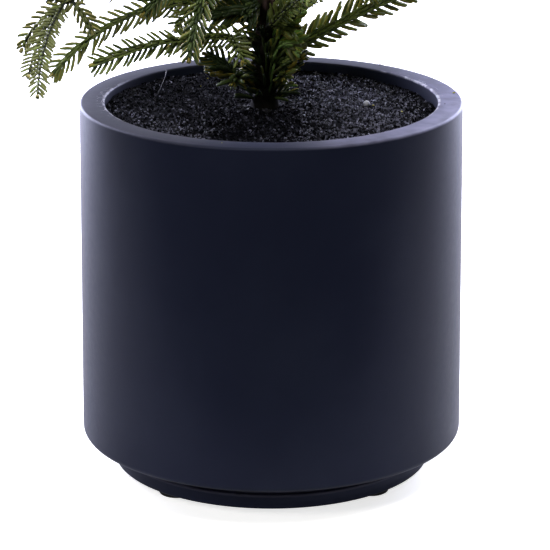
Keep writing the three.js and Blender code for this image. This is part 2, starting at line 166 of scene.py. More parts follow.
# %% Classes for finishes


def math_node(operation, swapped=False):
    """A method that puts a value and another one through a Math node."""

    def method(self, other=0.0):
        first, second = (other, self) if swapped else (self, other)
        sockets = {0: first, 1: second}
        return self.graph.node("ShaderNodeMath", {"operation": operation}, sockets)

    return method


class Value:
    """An output of a node that sums can be written with."""

    __add__ = __radd__ = math_node("ADD")
    __mul__ = __rmul__ = math_node("MULTIPLY")
    __sub__ = math_node("SUBTRACT")
    __rsub__ = math_node("SUBTRACT", swapped=True)
    __truediv__ = math_node("DIVIDE")
    __abs__ = math_node("ABSOLUTE")

    def __init__(self, graph, socket):
        self.graph = graph
        self.socket = socket

    def ramp(self, low, high, bottom=0.0, top=1.0):
        """Runs smoothly from bottom to top while the value goes from low to high."""
        sockets = {0: self, 1: low, 2: high, 3: bottom, 4: top}
        settings = {"interpolation_type": "SMOOTHSTEP"}
        return self.graph.node("ShaderNodeMapRange", settings, sockets)

    def near(self, middle, reach):
        """One at a value and zero beyond a reach from it."""
        return 1 - abs(self - middle).ramp(0.0, reach)


class Graph:
    """A node tree, with a short way to add nodes to it."""

    def __init__(self, tree):
        self.tree = tree

    def connect(self, socket, value):
        """Sets a socket, or links a value to it."""
        if isinstance(value, Value):
            self.tree.links.new(value.socket, socket)
        else:
            socket.default_value = value

    def node(self, kind, settings=None, inputs=None, output=0):
        """Any node: its settings first, then the values or links of its sockets."""
        made = self.tree.nodes.new(kind)
        for label, value in (settings or {}).items():
            setattr(made, label, value)
        for label, value in (inputs or {}).items():
            self.connect(made.inputs[label], value)
        return Value(self, made.outputs[output])


class Finish(Graph):
    """A material with one principled shader, and the patterns that feed it."""

    def __init__(self, name, color, roughness, **constants):
        self.material = bpy.data.materials.new(name)
        self.material.use_nodes = True
        super().__init__(self.material.node_tree)
        self.shader = self.tree.nodes["Principled BSDF"]
        self.feed("Base Color", (*color, 1.0))
        self.feed("Roughness", roughness)
        for label, value in constants.items():
            self.feed(label.replace("_", " "), value)

    def feed(self, label, value):
        """Sets a socket of the shader, or links a value to it."""
        self.connect(self.shader.inputs[label], value)

    def place(self):
        """The point on the piece, in metres."""
        return self.node("ShaderNodeTexCoord", output="Object")

    def axes(self):
        """The point's x, y and z as three values."""
        split = self.node("ShaderNodeSeparateXYZ", inputs={0: self.place()})
        return [Value(self, socket) for socket in split.socket.node.outputs]

    def noise(self, scale, detail=2.0, stretch=(1.0, 1.0, 1.0)):
        """Soft random spots, so many to the metre, that may be stretched along an axis."""
        turned = self.node("ShaderNodeMapping", inputs={0: self.place(), 3: stretch})
        sizes = {"Vector": turned, "Scale": scale, "Detail": detail}
        return self.node("ShaderNodeTexNoise", inputs=sizes)

    def mix(self, share, first, second):
        """A colour between two colours."""
        first, second = (c if isinstance(c, Value) else (*c, 1.0) for c in (first, second))
        inputs = {0: share, 6: first, 7: second}
        return self.node("ShaderNodeMix", {"data_type": "RGBA"}, inputs, 2)

    def relief(self, height, depth, strength=1.0):
        """Feeds the shader a bump of a real depth in metres."""
        sizes = {"Height": height, "Distance": depth, "Strength": strength}
        self.feed("Normal", self.node("ShaderNodeBump", inputs=sizes))

    def coat(self, piece):
        """Puts the finish on a piece, in place of any other."""
        piece.data.materials.clear()
        piece.data.materials.append(self.material)
        return piece


print("finishes can be written")

# %% [markdown]
# ## Camera, floor and studio light
#
# The camera comes first, because it decides which details are worth making. A long lens
# from a little above the rim looks down on the soil. The floor is plain and pale. Large
# soft lights stand to the left and right, a little behind the tree, so that the dark
# planter gets its two bright edges, and the front stays deep.

# %% Camera
EYE = (3.5 * MM, -2642.9 * MM, 1021.7 * MM)
LOOK_DOWN = 0.306
LENS_MM = 188.3

bpy.ops.object.camera_add(location=EYE, rotation=(math.pi / 2 - LOOK_DOWN, 0, 0))
camera = bpy.context.object
camera.name = "camera"
camera.data.lens = LENS_MM
camera.data.sensor_width = 36
camera.data.clip_end = 60
bpy.context.scene.camera = camera
print("camera at", [round(v, 3) for v in camera.location])

# %% Floor
FLOOR_SIZE = 30
FLOOR_FRONT = -0.34
# The paper's grey as the planter meets it, and as the camera sees it.
FLOOR_GREYS = {"Base Color": (0.5, 0.95), "Emission Color": (0.1, 0.75)}

bpy.ops.mesh.primitive_plane_add(
    size=FLOOR_SIZE, location=(0, FLOOR_FRONT + FLOOR_SIZE / 2, 0)
)
floor = named("floor")
floor_finish = Finish("floor_paper", (0.95, 0.95, 0.95), 0.9, Specular_IOR_Level=0.1)
looked_at = floor_finish.node("ShaderNodeLightPath")
for label, (met, seen) in FLOOR_GREYS.items():
    floor_finish.feed(label, floor_finish.mix(looked_at, [met] * 3, [seen] * 3))
floor_finish.feed("Emission Strength", 1.0)
floor_finish.coat(floor)
floor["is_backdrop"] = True
print("floor", FLOOR_SIZE, "m across")

# %% Studio light
COOL = (0.72, 0.735, 1.0)
WARM = (1.0, 0.98, 0.93)
# Each lamp: name, place, height of its aim, size, watts and colour.
LAMPS = [
    ("light_left", (-1.6, 2.33, 0.9), 0.4, (1.5, 2.4), 242, COOL),
    ("light_right", (1.5, 2.4, 0.9), 0.4, (1.5, 2.4), 194, COOL),
    ("light_above", (0.5, -0.4, 3.2), 0.4, (1.8, 1.8), 92, WARM),
    ("light_front", (-1.8, -2.6, 2.6), 0.5, (1.0, 1.0), 42, WARM),
]


def soft_light(name, place, aim, size, power, color):
    """A large area light at a place, turned towards a height on the axis."""
    bpy.ops.object.light_add(type="AREA", location=place)
    lamp = bpy.context.object
    lamp.name = name
    lamp.data.shape = "RECTANGLE"
    lamp.data.size, lamp.data.size_y = size
    lamp.data.energy = power
    lamp.data.color = color
    x, y, z = place
    lamp.rotation_euler = (math.atan2(math.hypot(x, y), z - aim), 0, math.atan2(x, -y))


for lamp_row in LAMPS:
    soft_light(*lamp_row)

# The camera sees white. The tree is lit by a surround that is dark in front, pale behind.
world = bpy.data.worlds.new("studio")
bpy.context.scene.world = world
world.use_nodes = True
world.node_tree.nodes.clear()
air = Graph(world.node_tree)
white = air.node("ShaderNodeBackground", inputs={"Color": (1, 1, 1, 1)})
ways = {0: air.node("ShaderNodeTexCoord")}
paleness = air.node("ShaderNodeSeparateXYZ", inputs=ways, output=1).ramp(-0.35, 0.8, 0.03, 0.95)
surround = air.node("ShaderNodeBackground", inputs={"Strength": paleness})
sorted_rays = {0: air.node("ShaderNodeLightPath"), 1: surround, 2: white}
either = air.node("ShaderNodeMixShader", inputs=sorted_rays)
air.connect(air.tree.nodes.new("ShaderNodeOutputWorld").inputs[0], either)
bpy.context.scene.view_settings.view_transform = "Standard"
print(len(LAMPS), "soft lights and a pale surround")

# %% [markdown]
# ## The planter
#
# The real planter is a cast drum with a thick wall, standing on a recessed ring with four
# round feet. Shaping a cylinder shows every face operation: scale the bottom ring, inset
# the top for the rim, extrude it down for the inside, and bevel the edges that light
# catches.

# %% Planter sizes
RIM_RADIUS = 181 * MM
DRUM_FOOT_RADIUS = 183.5 * MM
INNER_RADIUS = 157.5 * MM
PLANTER_HEIGHT = 361 * MM
DRUM_BOTTOM = 33.7 * MM
DRUM_FLOOR = 16 * MM
FOOT_HEIGHT = 6 * MM
FOOT_RADIUS = 17.5 * MM
FOOT_CIRCLE = 130 * MM
FOOT_TURN = math.radians(46.5)
BASE_RADIUS = 153 * MM
BASE_LEDGE = 14 * MM
BASE_NECK_RADIUS = 148 * MM
GAP = 0.3 * MM
ROUND_SIDES = 192

print("planter", round(2 * RIM_RADIUS, 3), "m across,", PLANTER_HEIGHT, "m high")

# %% Drum


def upright_cylinder(name, radius, low, high, sides):
    """A closed cylinder between two heights."""
    lay_aside()
    bpy.ops.mesh.primitive_cylinder_add(
        vertices=sides, radius=radius, depth=high - low, location=(0, 0, (low + high) / 2)
    )
    piece = named(name)
    bpy.ops.object.transform_apply(location=True, rotation=True, scale=True)
    return piece


def round_ring(piece, height, radius, size, steps, slack=0.4 * MM):
    """Bevels the edges of one level ring round the axis."""

    def on_ring(point):
        level = abs(point.z - height) < slack
        return level and abs(math.hypot(point.x, point.y) - radius) < slack

    edit(piece, "EDGE")
    pick_edges(piece, lambda a, b: on_ring(a) and on_ring(b))
    bpy.ops.mesh.bevel(offset=size, segments=steps, affect="EDGES", clamp_overlap=True)
    lay_aside()


def inset_top(piece, thickness, rise):
    """Insets the top face and then moves it up or down."""
    pick_faces(piece, lambda centre, normal: normal.z > 0.9)
    bpy.ops.mesh.inset(thickness=thickness, use_even_offset=False)
    bpy.ops.mesh.extrude_region_move(TRANSFORM_OT_translate={"value": (0, 0, rise)})
    lay_aside()


def make_drum():
    """The drum: a wall with a slightly wider foot, a flat rim and a closed floor."""
    drum = upright_cylinder(
        "planter_shell", RIM_RADIUS, DRUM_BOTTOM, PLANTER_HEIGHT, ROUND_SIDES
    )
    edit(drum)
    pick_faces(drum, lambda centre, normal: normal.z < -0.9)
    wider = DRUM_FOOT_RADIUS / RIM_RADIUS
    bpy.ops.transform.resize(value=(wider, wider, 1))
    bpy.ops.mesh.select_all(action="DESELECT")
    inset_top(drum, RIM_RADIUS - INNER_RADIUS, DRUM_BOTTOM + DRUM_FLOOR - PLANTER_HEIGHT)
    round_ring(drum, PLANTER_HEIGHT, RIM_RADIUS, 2.6 * MM, 5)
    round_ring(drum, PLANTER_HEIGHT, INNER_RADIUS, 1.6 * MM, 4)
    round_ring(drum, DRUM_BOTTOM, DRUM_FOOT_RADIUS, 6 * MM, 7)
    return settle(drum)


drum = make_drum()
print("drum", triangles(drum), "triangles")

# %% [markdown]
# The base is a second, narrower drum below. Its lower edge stands out as a thin ledge, with
# a painted highlight line along its top. The feet are rubber pads with a rounded lower
# edge: one is made, and the others are copies with their own mesh.

# %% Base ring and feet


def make_base():
    """The recessed ring: a ledge below, and a narrower neck up to the drum."""
    ledge_top = FOOT_HEIGHT + BASE_LEDGE
    base = upright_cylinder("planter_ring", BASE_RADIUS, FOOT_HEIGHT, ledge_top, 128)
    edit(base)
    inset_top(base, BASE_RADIUS - BASE_NECK_RADIUS, DRUM_BOTTOM - GAP - ledge_top)
    round_ring(base, ledge_top, BASE_RADIUS, 2 * MM, 4)
    round_ring(base, FOOT_HEIGHT, BASE_RADIUS, 2 * MM, 3)
    return settle(base)


def make_foot():
    """One rubber pad on the planter's axis."""
    foot = upright_cylinder("planter_pad_1", FOOT_RADIUS, 0, FOOT_HEIGHT - GAP, 48)
    round_ring(foot, 0, FOOT_RADIUS, 2.2 * MM, 4)
    round_ring(foot, FOOT_HEIGHT - GAP, FOOT_RADIUS, 0.6 * MM, 2)
    return foot


def moved_copy(piece, name, place):
    """A copy with its own mesh, moved to a place."""
    take(piece)
    bpy.ops.object.duplicate()
    copy = named(name)
    copy.location = place
    return settle(copy)


base = make_base()
pad = make_foot()
pads = []
for i in range(4):
    angle = FOOT_TURN + math.pi / 2 * i
    place = (FOOT_CIRCLE * math.cos(angle), FOOT_CIRCLE * math.sin(angle), 0)
    pads.append(moved_copy(pad, f"rubber_foot_{i + 1}", place))
bpy.data.objects.remove(pad)
print("base", triangles(base), "triangles,", len(pads), "feet")

# %% [markdown]
# ### The planter's finish
#
# The shell is a dark navy-charcoal, matt but not dead: it has a faint cloudy mottling, a
# very fine cast grain, and a rim that has been scuffed. The scuffs are masks made from the
# distance to the axis and the angle round it, so they stay where hands and soil have
# rubbed: a pale worn line at the inner edge and some scratches at the right. The rim's top
# is also painted lighter with dust and a painted sheen, with a painted highlight at the
# right and painted shade at the front, and the base's ledge has a painted highlight line.

# %% Planter finish
NAVY = (0.0152, 0.0186, 0.0405)
NAVY_PALE = (0.0235, 0.0286, 0.0540)
SCUFF = (0.62, 0.62, 0.70)
# The rim's dust colour is partly a painted sheen of the bright surround, and the next colour is a
# painted highlight, bluish like the lamps.
RIM_DUST_AND_SHEEN = (0.052, 0.054, 0.084)
RIM_PAINTED_HIGHLIGHT = (0.240, 0.240, 0.370)
LEDGE_PAINTED_HIGHLIGHT = (0.120, 0.120, 0.165)
BLUISH = (0.68, 0.72, 1.0, 1.0)


def make_planter_finish():
    """Clouds of navy, a dusting with painted sheen on the rim, a painted highlight at its right,
    painted shade at its front, a painted highlight line on the ledge, and worn marks on the rim.
    """
    finish = Finish("cast_shell", NAVY, 0.4, Specular_IOR_Level=0.15, Specular_Tint=BLUISH)
    x, y, z = finish.axes()
    radius = finish.node("ShaderNodeMath", {"operation": "SQRT"}, {0: x * x + y * y})

    def band(middle_deg, reach_deg):
        """A mask that is one round a compass angle and fades out beyond it."""
        middle = math.radians(middle_deg)
        facing = (x * math.cos(middle) + y * math.sin(middle)) / (radius + 1e-6)
        return facing.ramp(math.cos(math.radians(reach_deg)), 1.0)

    cloud = finish.noise(9, 3)
    fine = finish.noise(160, 2)
    streak = finish.noise(26, 3, (1.0, 1.0, 0.16))
    body = finish.mix(cloud.ramp(0.35, 0.75) * 0.6 + streak * 0.25, NAVY, NAVY_PALE)
    on_rim = z.ramp(PLANTER_HEIGHT - 3 * MM, PLANTER_HEIGHT - 0.6 * MM)
    dust_and_sheen = on_rim * (finish.noise(60, 4).ramp(0.30, 0.72) * 0.4 + 0.6)
    # Painted highlight: the rim's colour turns paler and bluer towards the right, where the right
    # lamp is reflected.
    sheen_to_highlight = finish.mix(band(338, 78), RIM_DUST_AND_SHEEN, RIM_PAINTED_HIGHLIGHT)
    # Painted shade: the dust and painted sheen are mostly taken off the front of the rim.
    dust_and_painted_light = finish.mix(dust_and_sheen * (1 - band(266, 27) * 0.85), body, sheen_to_highlight)
    # Painted highlight: a pale line round the top of the base's ledge.
    ledge = z.near(FOOT_HEIGHT + BASE_LEDGE, 3 * MM)
    dust_and_painted_light = finish.mix(ledge, dust_and_painted_light, LEDGE_PAINTED_HIGHLIGHT)
    inner_edge = radius.near(INNER_RADIUS + 1.0 * MM, 2.6 * MM)
    broken = finish.noise(120, 3).ramp(0.42, 0.60)
    worn = inner_edge * (band(184, 40) * 0.7 + band(12, 46)) * (broken * 0.7 + 0.3)
    path = (x * 0.45 + y * 0.89) + finish.noise(22, 1) * 6 * MM
    scratches = path.near(-6 * MM, 0.9 * MM) * band(-22, 9)
    scratches = scratches + path.near(9 * MM, 0.6 * MM) * band(-14, 7)
    beside_lip = radius.near(INNER_RADIUS + 4.5 * MM, 6 * MM)
    glue = finish.noise(75, 1).near(0.5, 0.016) * beside_lip * (band(22, 26) + band(184, 34))
    marks = (worn + scratches * 0.7 + glue * 0.8) * on_rim
    finish.feed("Base Color", finish.mix(marks.ramp(0.05, 1.0), dust_and_painted_light, SCUFF))
    finish.feed("Roughness", 0.33 + fine * 0.10 + dust_and_sheen * 0.14)
    grain = finish.noise(900, 2) * 0.5 + finish.noise(70, 3)
    finish.relief(grain, 0.12 * MM, 0.6)
    return finish


planter_finish = make_planter_finish()
planter_finish.coat(drum)
planter_finish.coat(base)
rubber = Finish("foot_rubber", (0.012, 0.012, 0.015), 0.7)
rubber.relief(rubber.noise(600, 2), 0.1 * MM, 0.7)
dress(drum, "planter_shell", "planter_drum")
dress(base, "planter_shell", "planter_base")
for i, foot in enumerate(pads):
    dress(rubber.coat(foot), "foot_rubber", f"planter_foot_{i + 1}")

# %% [markdown]
# ## The soil
#
# The planter is filled with black chopped granules. A bumpy shader alone looks like tar,
# because real granules throw shadows and glint one by one. So the bed is a low mound of
# its own, and thousands of small chips lie on it.

# %% Bed of the soil
SOIL_EDGE_HEIGHT = 350 * MM
SOIL_MOUND = 4 * MM
SOIL_TILT = 3 * MM
BED_RINGS = 26
SEED = 20117
WHOLE = 0xFFFFFFFF


def soil_relief(x, y):
    """How far the soil stands above its edge: a mound, a tilt and low ripples."""
    share = np.hypot(x, y) / INNER_RADIUS
    mound = SOIL_MOUND * np.maximum(0, 1 - share * 1.6)
    tilt = SOIL_TILT * (y - x) / (INNER_RADIUS * math.sqrt(2))
    ripple = np.sin(x / (19 * MM)) * np.cos(y / (15 * MM)) * 0.9 * MM
    return mound + (tilt + ripple) * np.clip(share * 4 - 1, 0, 1)


def ground(x, y):
    """The height of the soil at a place, with small uneven heaps on the mound."""
    low = np.sin(x / (7.3 * MM) + np.sin(y / (9.1 * MM)) * 1.7)
    high = np.sin(y / (5.9 * MM) + np.cos(x / (11.7 * MM)) * 2.1)
    furrow = np.sin((x * 0.5 + y * 0.87) / (4.1 * MM) + np.sin(x / (17 * MM)) * 2.4)
    lumps = 0.7 * MM * low * high + 0.55 * MM * furrow
    return SOIL_EDGE_HEIGHT + soil_relief(x, y) + lumps


def make_bed():
    """The soil body: a cylinder whose top is inset to rings and raised to the mound."""
    bottom = DRUM_BOTTOM + DRUM_FLOOR + GAP
    bed = upright_cylinder("soil_bed", INNER_RADIUS - GAP, bottom, SOIL_EDGE_HEIGHT, 96)
    edit(bed)
    pick_faces(bed, lambda centre, normal: normal.z > 0.9)
    step = (INNER_RADIUS - GAP) / (BED_RINGS + 1)
    for _ in range(BED_RINGS):
        bpy.ops.mesh.inset(thickness=step, use_even_offset=False)
    lay_aside()
    points = corners_of(bed)
    top = points[:, 2] > SOIL_EDGE_HEIGHT - GAP
    points[top, 2] = ground(points[top, 0], points[top, 1])
    move_corners(bed, points)
    return settle(bed, 60)


bed = make_bed()
soil_finish = Finish("soil_dark", (0.006, 0.006, 0.0075), 0.95, Specular_IOR_Level=0.04)
clods = soil_finish.noise(420, 4)
damp, crumbly = (0.0015, 0.0015, 0.0022), (0.008, 0.008, 0.011)
soil_finish.feed("Base Color", soil_finish.mix(clods.ramp(0.4, 0.7), damp, crumbly))
soil_finish.relief(clods, 1.2 * MM)
dress(soil_finish.coat(bed), "soil", "soil")

# %% [markdown]
# The next cell holds the tool for all the small things. It takes the corners and faces of
# one modelled piece and a list of places, axes and sizes, and builds one joined mesh from
# them. Geometry Nodes with realized instances would do the same. Arrays are used here
# because each needle's place comes from a rule that is easier to follow as code.

# %% Copying one small model many times


def corners_and_faces(piece):
    """A small model as arrays, after cutting its faces into triangles."""
    edit(piece)
    bpy.ops.mesh.select_all(action="SELECT")
    bpy.ops.mesh.normals_make_consistent(inside=False)
    bpy.ops.mesh.quads_convert_to_tris()
    lay_aside()
    corners = corners_of(piece)
    faces = np.array([face.vertices for face in piece.data.polygons])
    bpy.data.objects.remove(piece)
    return corners, faces


def joined_mesh(name, corners, faces, finishes, tints=0, smooth=True):
    """One mesh piece from arrays, with the finish of each face."""
    count = len(faces)
    mesh = bpy.data.meshes.new(name)
    mesh.vertices.add(len(corners))
    mesh.vertices.foreach_set("co", corners.astype(np.float32).ravel())
    mesh.loops.add(faces.size)
    mesh.loops.foreach_set("vertex_index", faces.astype(np.int32).ravel())
    mesh.polygons.add(count)
    mesh.polygons.foreach_set("loop_start", np.arange(count, dtype=np.int32) * 3)
    mesh.polygons.foreach_set("loop_total", np.full(count, 3, np.int32))
    for finish in finishes:
        mesh.materials.append(finish.material)
    mesh.polygons.foreach_set("material_index", np.full(count, tints, np.int32))
    mesh.polygons.foreach_set("use_smooth", np.full(count, smooth))
    mesh.update(calc_edges=True)
    mesh.validate()
    piece = bpy.data.objects.new(name, mesh)
    bpy.context.scene.collection.objects.link(piece)
    return piece


def strewn(model, places, axes, sizes, bend=0.0):
    """Corners and faces of many copies: each has a place, three axes and three sizes."""
    corners, faces = model
    scaled = corners * sizes[:, None, :]
    scaled[:, :, 2] += bend * sizes[:, 1, None]
    points = np.einsum("nvk,nkd->nvd", scaled, axes) + places[:, None, :]
    steps = np.arange(len(places))[:, None, None] * len(corners)
    return points.reshape(-1, 3), (faces + steps).reshape(-1, 3)


def unit(rows):
    """The rows of an array at length one."""
    return rows / np.linalg.norm(rows, axis=-1, keepdims=True)


def random_axes(dice, count):
    """Evenly turned sets of three axes."""
    first = unit(dice.normal(size=(count, 3)))
    third = unit(np.cross(first, dice.normal(size=(count, 3))))
    return np.stack([first, np.cross(third, first), third], axis=1)


print("small things can be copied")

# %% Granules
GRANULE_COUNT = 13000
GRANULE_SIZE = 1.2 * MM
# Each kind: name, colour, roughness and sheen.
GRANULE_KINDS = [
    ("granule_black", (0.0018, 0.0018, 0.0028), 0.80, 0.04),
    ("granule_charcoal", (0.0420, 0.0420, 0.0580), 0.60, 0.15),
    ("granule_grey", (0.175, 0.175, 0.238), 0.45, 0.28),
]


def make_chip():
    """One granule: an icosphere, flattened and pulled out of true."""
    lay_aside()
    bpy.ops.mesh.primitive_ico_sphere_add(subdivisions=1, radius=1)
    chip = named("chip")
    edit(chip)
    pick_faces(chip, lambda centre, normal: centre.x > 0.4)
    bpy.ops.transform.resize(value=(1.0, 0.55, 0.7))
    bpy.ops.mesh.select_all(action="DESELECT")
    pick_faces(chip, lambda centre, normal: centre.z > 0.5)
    bpy.ops.transform.translate(value=(0.25, -0.15, -0.3))
    return corners_and_faces(chip)


def spot(x, y, at_x, at_y, wide, deep):
    """A round soft spot on the soil, with its middle and reaches in metres."""
    return np.exp(-(((x - at_x) / wide) ** 2) - ((y - at_y) / deep) ** 2)


def dryness_and_painted_light(x, y):
    """How pale the soil is, from 0 to 1, partly drier granules and partly painted light: palest
    to the right, painted shade at the back left, darker before the trunk.
    """
    # Painted light: the soil turns paler towards the right, where the light falls from the right
    # and back.
    right = np.clip((x + 0.01) / 0.08, 0, 1) * np.clip((0.22 - y) / 0.11, 0, 1)
    right = right * np.clip((0.158 - np.hypot(x, y)) / 0.04, 0, 1)
    left = 0.5 * spot(x, y, -0.085, -0.058, 0.055, 0.05)
    darker_front = 0.6 * spot(x, y, -0.012, -0.085, 0.045, 0.06)
    # Painted shade: darker at the back left, where the inner wall's shadow falls.
    shade = 1.1 * spot(x, y, -0.08, 0.08, 0.07, 0.06)
    patch = 0.2 * np.sin(x / (23 * MM) + 1.3) * np.sin(y / (17 * MM) + x / (31 * MM))
    return np.clip(0.10 + 0.85 * right + left + patch - darker_front - shade, 0, 1)


def make_granules():
    """Chips all over the soil, in three blacks."""
    dice = np.random.default_rng(SEED)
    radius = (INNER_RADIUS - 2 * MM) * np.sqrt(dice.random(GRANULE_COUNT))
    angle = dice.random(GRANULE_COUNT) * 2 * math.pi
    x, y = radius * np.cos(angle), radius * np.sin(angle)
    size = GRANULE_SIZE * (0.55 + 0.9 * dice.random(GRANULE_COUNT) ** 1.6)
    long_way = size * (1.0 + 0.9 * dice.random(GRANULE_COUNT))
    sizes = np.stack([long_way, size * 0.8, size * 0.7], axis=1)
    lift = size * (0.1 + 0.7 * dice.random(GRANULE_COUNT))
    places = np.stack([x, y, ground(x, y) + lift], axis=1)
    axes = random_axes(dice, GRANULE_COUNT)
    # Pale grey and charcoal granules are dealt by this field, so their mix paints light and shade
    # on the soil as well as its dryness.
    dry_and_lit = dryness_and_painted_light(x, y)
    luck = dice.random(GRANULE_COUNT)
    kind = np.where(luck < 0.03 + 0.62 * dry_and_lit, 2, np.where(luck < 0.28 + 0.6 * dry_and_lit, 1, 0))
    sizes *= np.where(kind == 2, 0.85, 1.0)[:, None]
    chip = make_chip()
    for k, (name, color, rough, sheen) in enumerate(GRANULE_KINDS):
        finish = Finish(name, color, rough, Specular_IOR_Level=sheen, Specular_Tint=BLUISH)
        chosen = kind == k
        shape = strewn(chip, places[chosen], axes[chosen], sizes[chosen])
        piece = joined_mesh(f"soil_granules_{k + 1}", *shape, [finish], smooth=False)
        dress(piece, "soil")


make_granules()

# %% [markdown]
# ## The trunk
#
# The trunk is a straight moulded pole with a little sway, a flare where it leaves the soil
# and shallow bark ridges. A cylinder is cut into many rings, its corners follow the same
# axis and taper as the solid, and two Displace modifiers raise the bark: one for long
# ridges, one for fine scale. They are applied, so the relief is real.

# %% Trunk
TRUNK_X = -5.6 * MM
TRUNK_FOOT = SOIL_EDGE_HEIGHT + SOIL_MOUND + GAP
TRUNK_TOP = 1330 * MM
TRUNK_RADIUS = 10.5 * MM
TRUNK_TIP_RADIUS = 2.6 * MM
FLARE_RADIUS = 4 * MM
FLARE_HEIGHT = 16 * MM
TRUNK_SWAY = 5 * MM
TRUNK_SIDE_SWAY = 3 * MM


def trunk_share(height):
    """How far up the trunk a height is, from 0 to 1."""
    return (height - TRUNK_FOOT) / (TRUNK_TOP - TRUNK_FOOT)


def trunk_axis(height):
    """The middle of the trunk at a height."""
    share = trunk_share(height)
    x = TRUNK_X + TRUNK_SWAY * np.sin(share * math.pi * 1.5) * share
    y = TRUNK_SIDE_SWAY * np.sin(share * math.pi * 2.2) * share
    return np.stack([x, y, height + 0 * x], axis=-1)


def trunk_radius(height):
    """The trunk's radius at a height: an even taper and a flare at the foot."""
    flare = FLARE_RADIUS * np.exp(-(height - TRUNK_FOOT) / FLARE_HEIGHT)
    return TRUNK_RADIUS + (TRUNK_TIP_RADIUS - TRUNK_RADIUS) * trunk_share(height) + flare


def ringed_cylinder(name, sides, rings):
    """A cylinder of radius and height one, cut into rings along its length."""
    piece = upright_cylinder(name, 1.0, 0.0, 1.0, sides)
    edit(piece, "EDGE")
    pick_edges(piece, lambda a, b: abs(a.z - b.z) > 0.5)
    bpy.ops.mesh.subdivide(number_cuts=rings - 1)
    lay_aside()
    return piece


def ridged(piece, kind, size, depth):
    """Raises a relief on a piece with a Displace modifier and applies it."""
    pattern = bpy.data.textures.new(piece.name + kind, kind)
    pattern.noise_scale = size
    take(piece)
    bpy.ops.object.modifier_add(type="DISPLACE")
    modifier = piece.modifiers[-1]
    modifier.texture = pattern
    modifier.texture_coords = "LOCAL"
    modifier.strength = depth
    modifier.mid_level = 0.5
    bpy.ops.object.modifier_apply(modifier=modifier.name)


def make_trunk():
    """The trunk, with nine long grooves and fine rings in its radius."""
    trunk = ringed_cylinder("trunk_bark", 32, 220)
    points = corners_of(trunk)
    height = TRUNK_FOOT + (TRUNK_TOP - TRUNK_FOOT) * points[:, 2] ** 1.25
    radius = trunk_radius(height)
    middle = np.hypot(points[:, 0], points[:, 1]) > 0.5
    angle = np.arctan2(points[:, 1], points[:, 0])
    grooves = 0.5 * MM * np.sin(angle * 9 + np.sin(height / (31 * MM)) * 1.4)
    scars = 0.35 * MM * np.sin(height / (3.1 * MM) + 2.2 * np.sin(angle * 3))
    radius = radius - 0.6 * MM + (grooves + scars) * np.minimum(1, radius / TRUNK_RADIUS)
    out = points[:, :2] * (radius * middle)[:, None]
    points = trunk_axis(height)
    points[:, :2] += out
    move_corners(trunk, points)
    ridged(trunk, "CLOUDS", 6 * MM, 1.1 * MM)
    ridged(trunk, "VORONOI", 3 * MM, 0.5 * MM)
    return settle(trunk, 50)


trunk = make_trunk()
print("trunk", triangles(trunk), "triangles")

# %% [markdown]
# Bark on such a tree is a pinkish brown with darker furrows and a few greenish flecks. Low
# down, among the needles, it is painted nearly black, as painted shade. The furrows follow
# the grain, so the noise is stretched along the height.

# %% Bark finish
BARK_SHOWS = 434 * MM
BARK_FADE = 15 * MM
BARK_FURROW = (0.014, 0.011, 0.010)
BARK_PINK = (0.150, 0.094, 0.100)
BARK_MOSS = (0.038, 0.045, 0.016)
BARK_PAINTED_SHADE = (0.004, 0.005, 0.003)


def make_bark():
    """Bark with furrows along the grain, flecks of moss and painted shade on its lower part."""
    finish = Finish("moulded_bark", BARK_PINK, 0.82, Specular_IOR_Level=0.08)
    grain = finish.noise(150, 4, (1.0, 1.0, 0.22))
    patches = finish.noise(34, 3)
    fine = finish.noise(620, 3, (1.0, 1.0, 0.5))
    brown = finish.mix(grain.ramp(0.36, 0.66), BARK_FURROW, BARK_PINK)
    mossy = finish.mix(patches.ramp(0.56, 0.72) * 0.5, brown, BARK_MOSS)
    # Painted shade: below the height where the bark shows, it is darkened to nearly black.
    low_painted_shade = 1 - finish.axes()[2].ramp(BARK_SHOWS - BARK_FADE, BARK_SHOWS + BARK_FADE)
    finish.feed("Base Color", finish.mix(low_painted_shade * 0.93, mossy, BARK_PAINTED_SHADE))
    finish.feed("Roughness", 0.72 + fine * 0.2)
    finish.relief(grain * 0.7 + fine * 0.5, 0.7 * MM)
    return finish


dress(make_bark().coat(trunk), "bark", "trunk")

# %% [markdown]
# ## The rule of growth
#
# Every limb is a path: it sets off from the trunk at one slope, ends at another, and turns
# a little on its way. Side twigs leave it in pairs. All that looks random comes from one
# small function, `chance`, which gives the same value for the same whole numbers, so the
# tree is the same each time and fits the solids of the frame. Lengths in the tables are
# in millimetres and angles in degrees.

# %% Tables of the whorls
# A row holds a limb's turn, height, rise, fall, reach and curl, and what sets it apart.
COLUMNS = ("turn", "height", "rise", "fall", "reach", "curl")
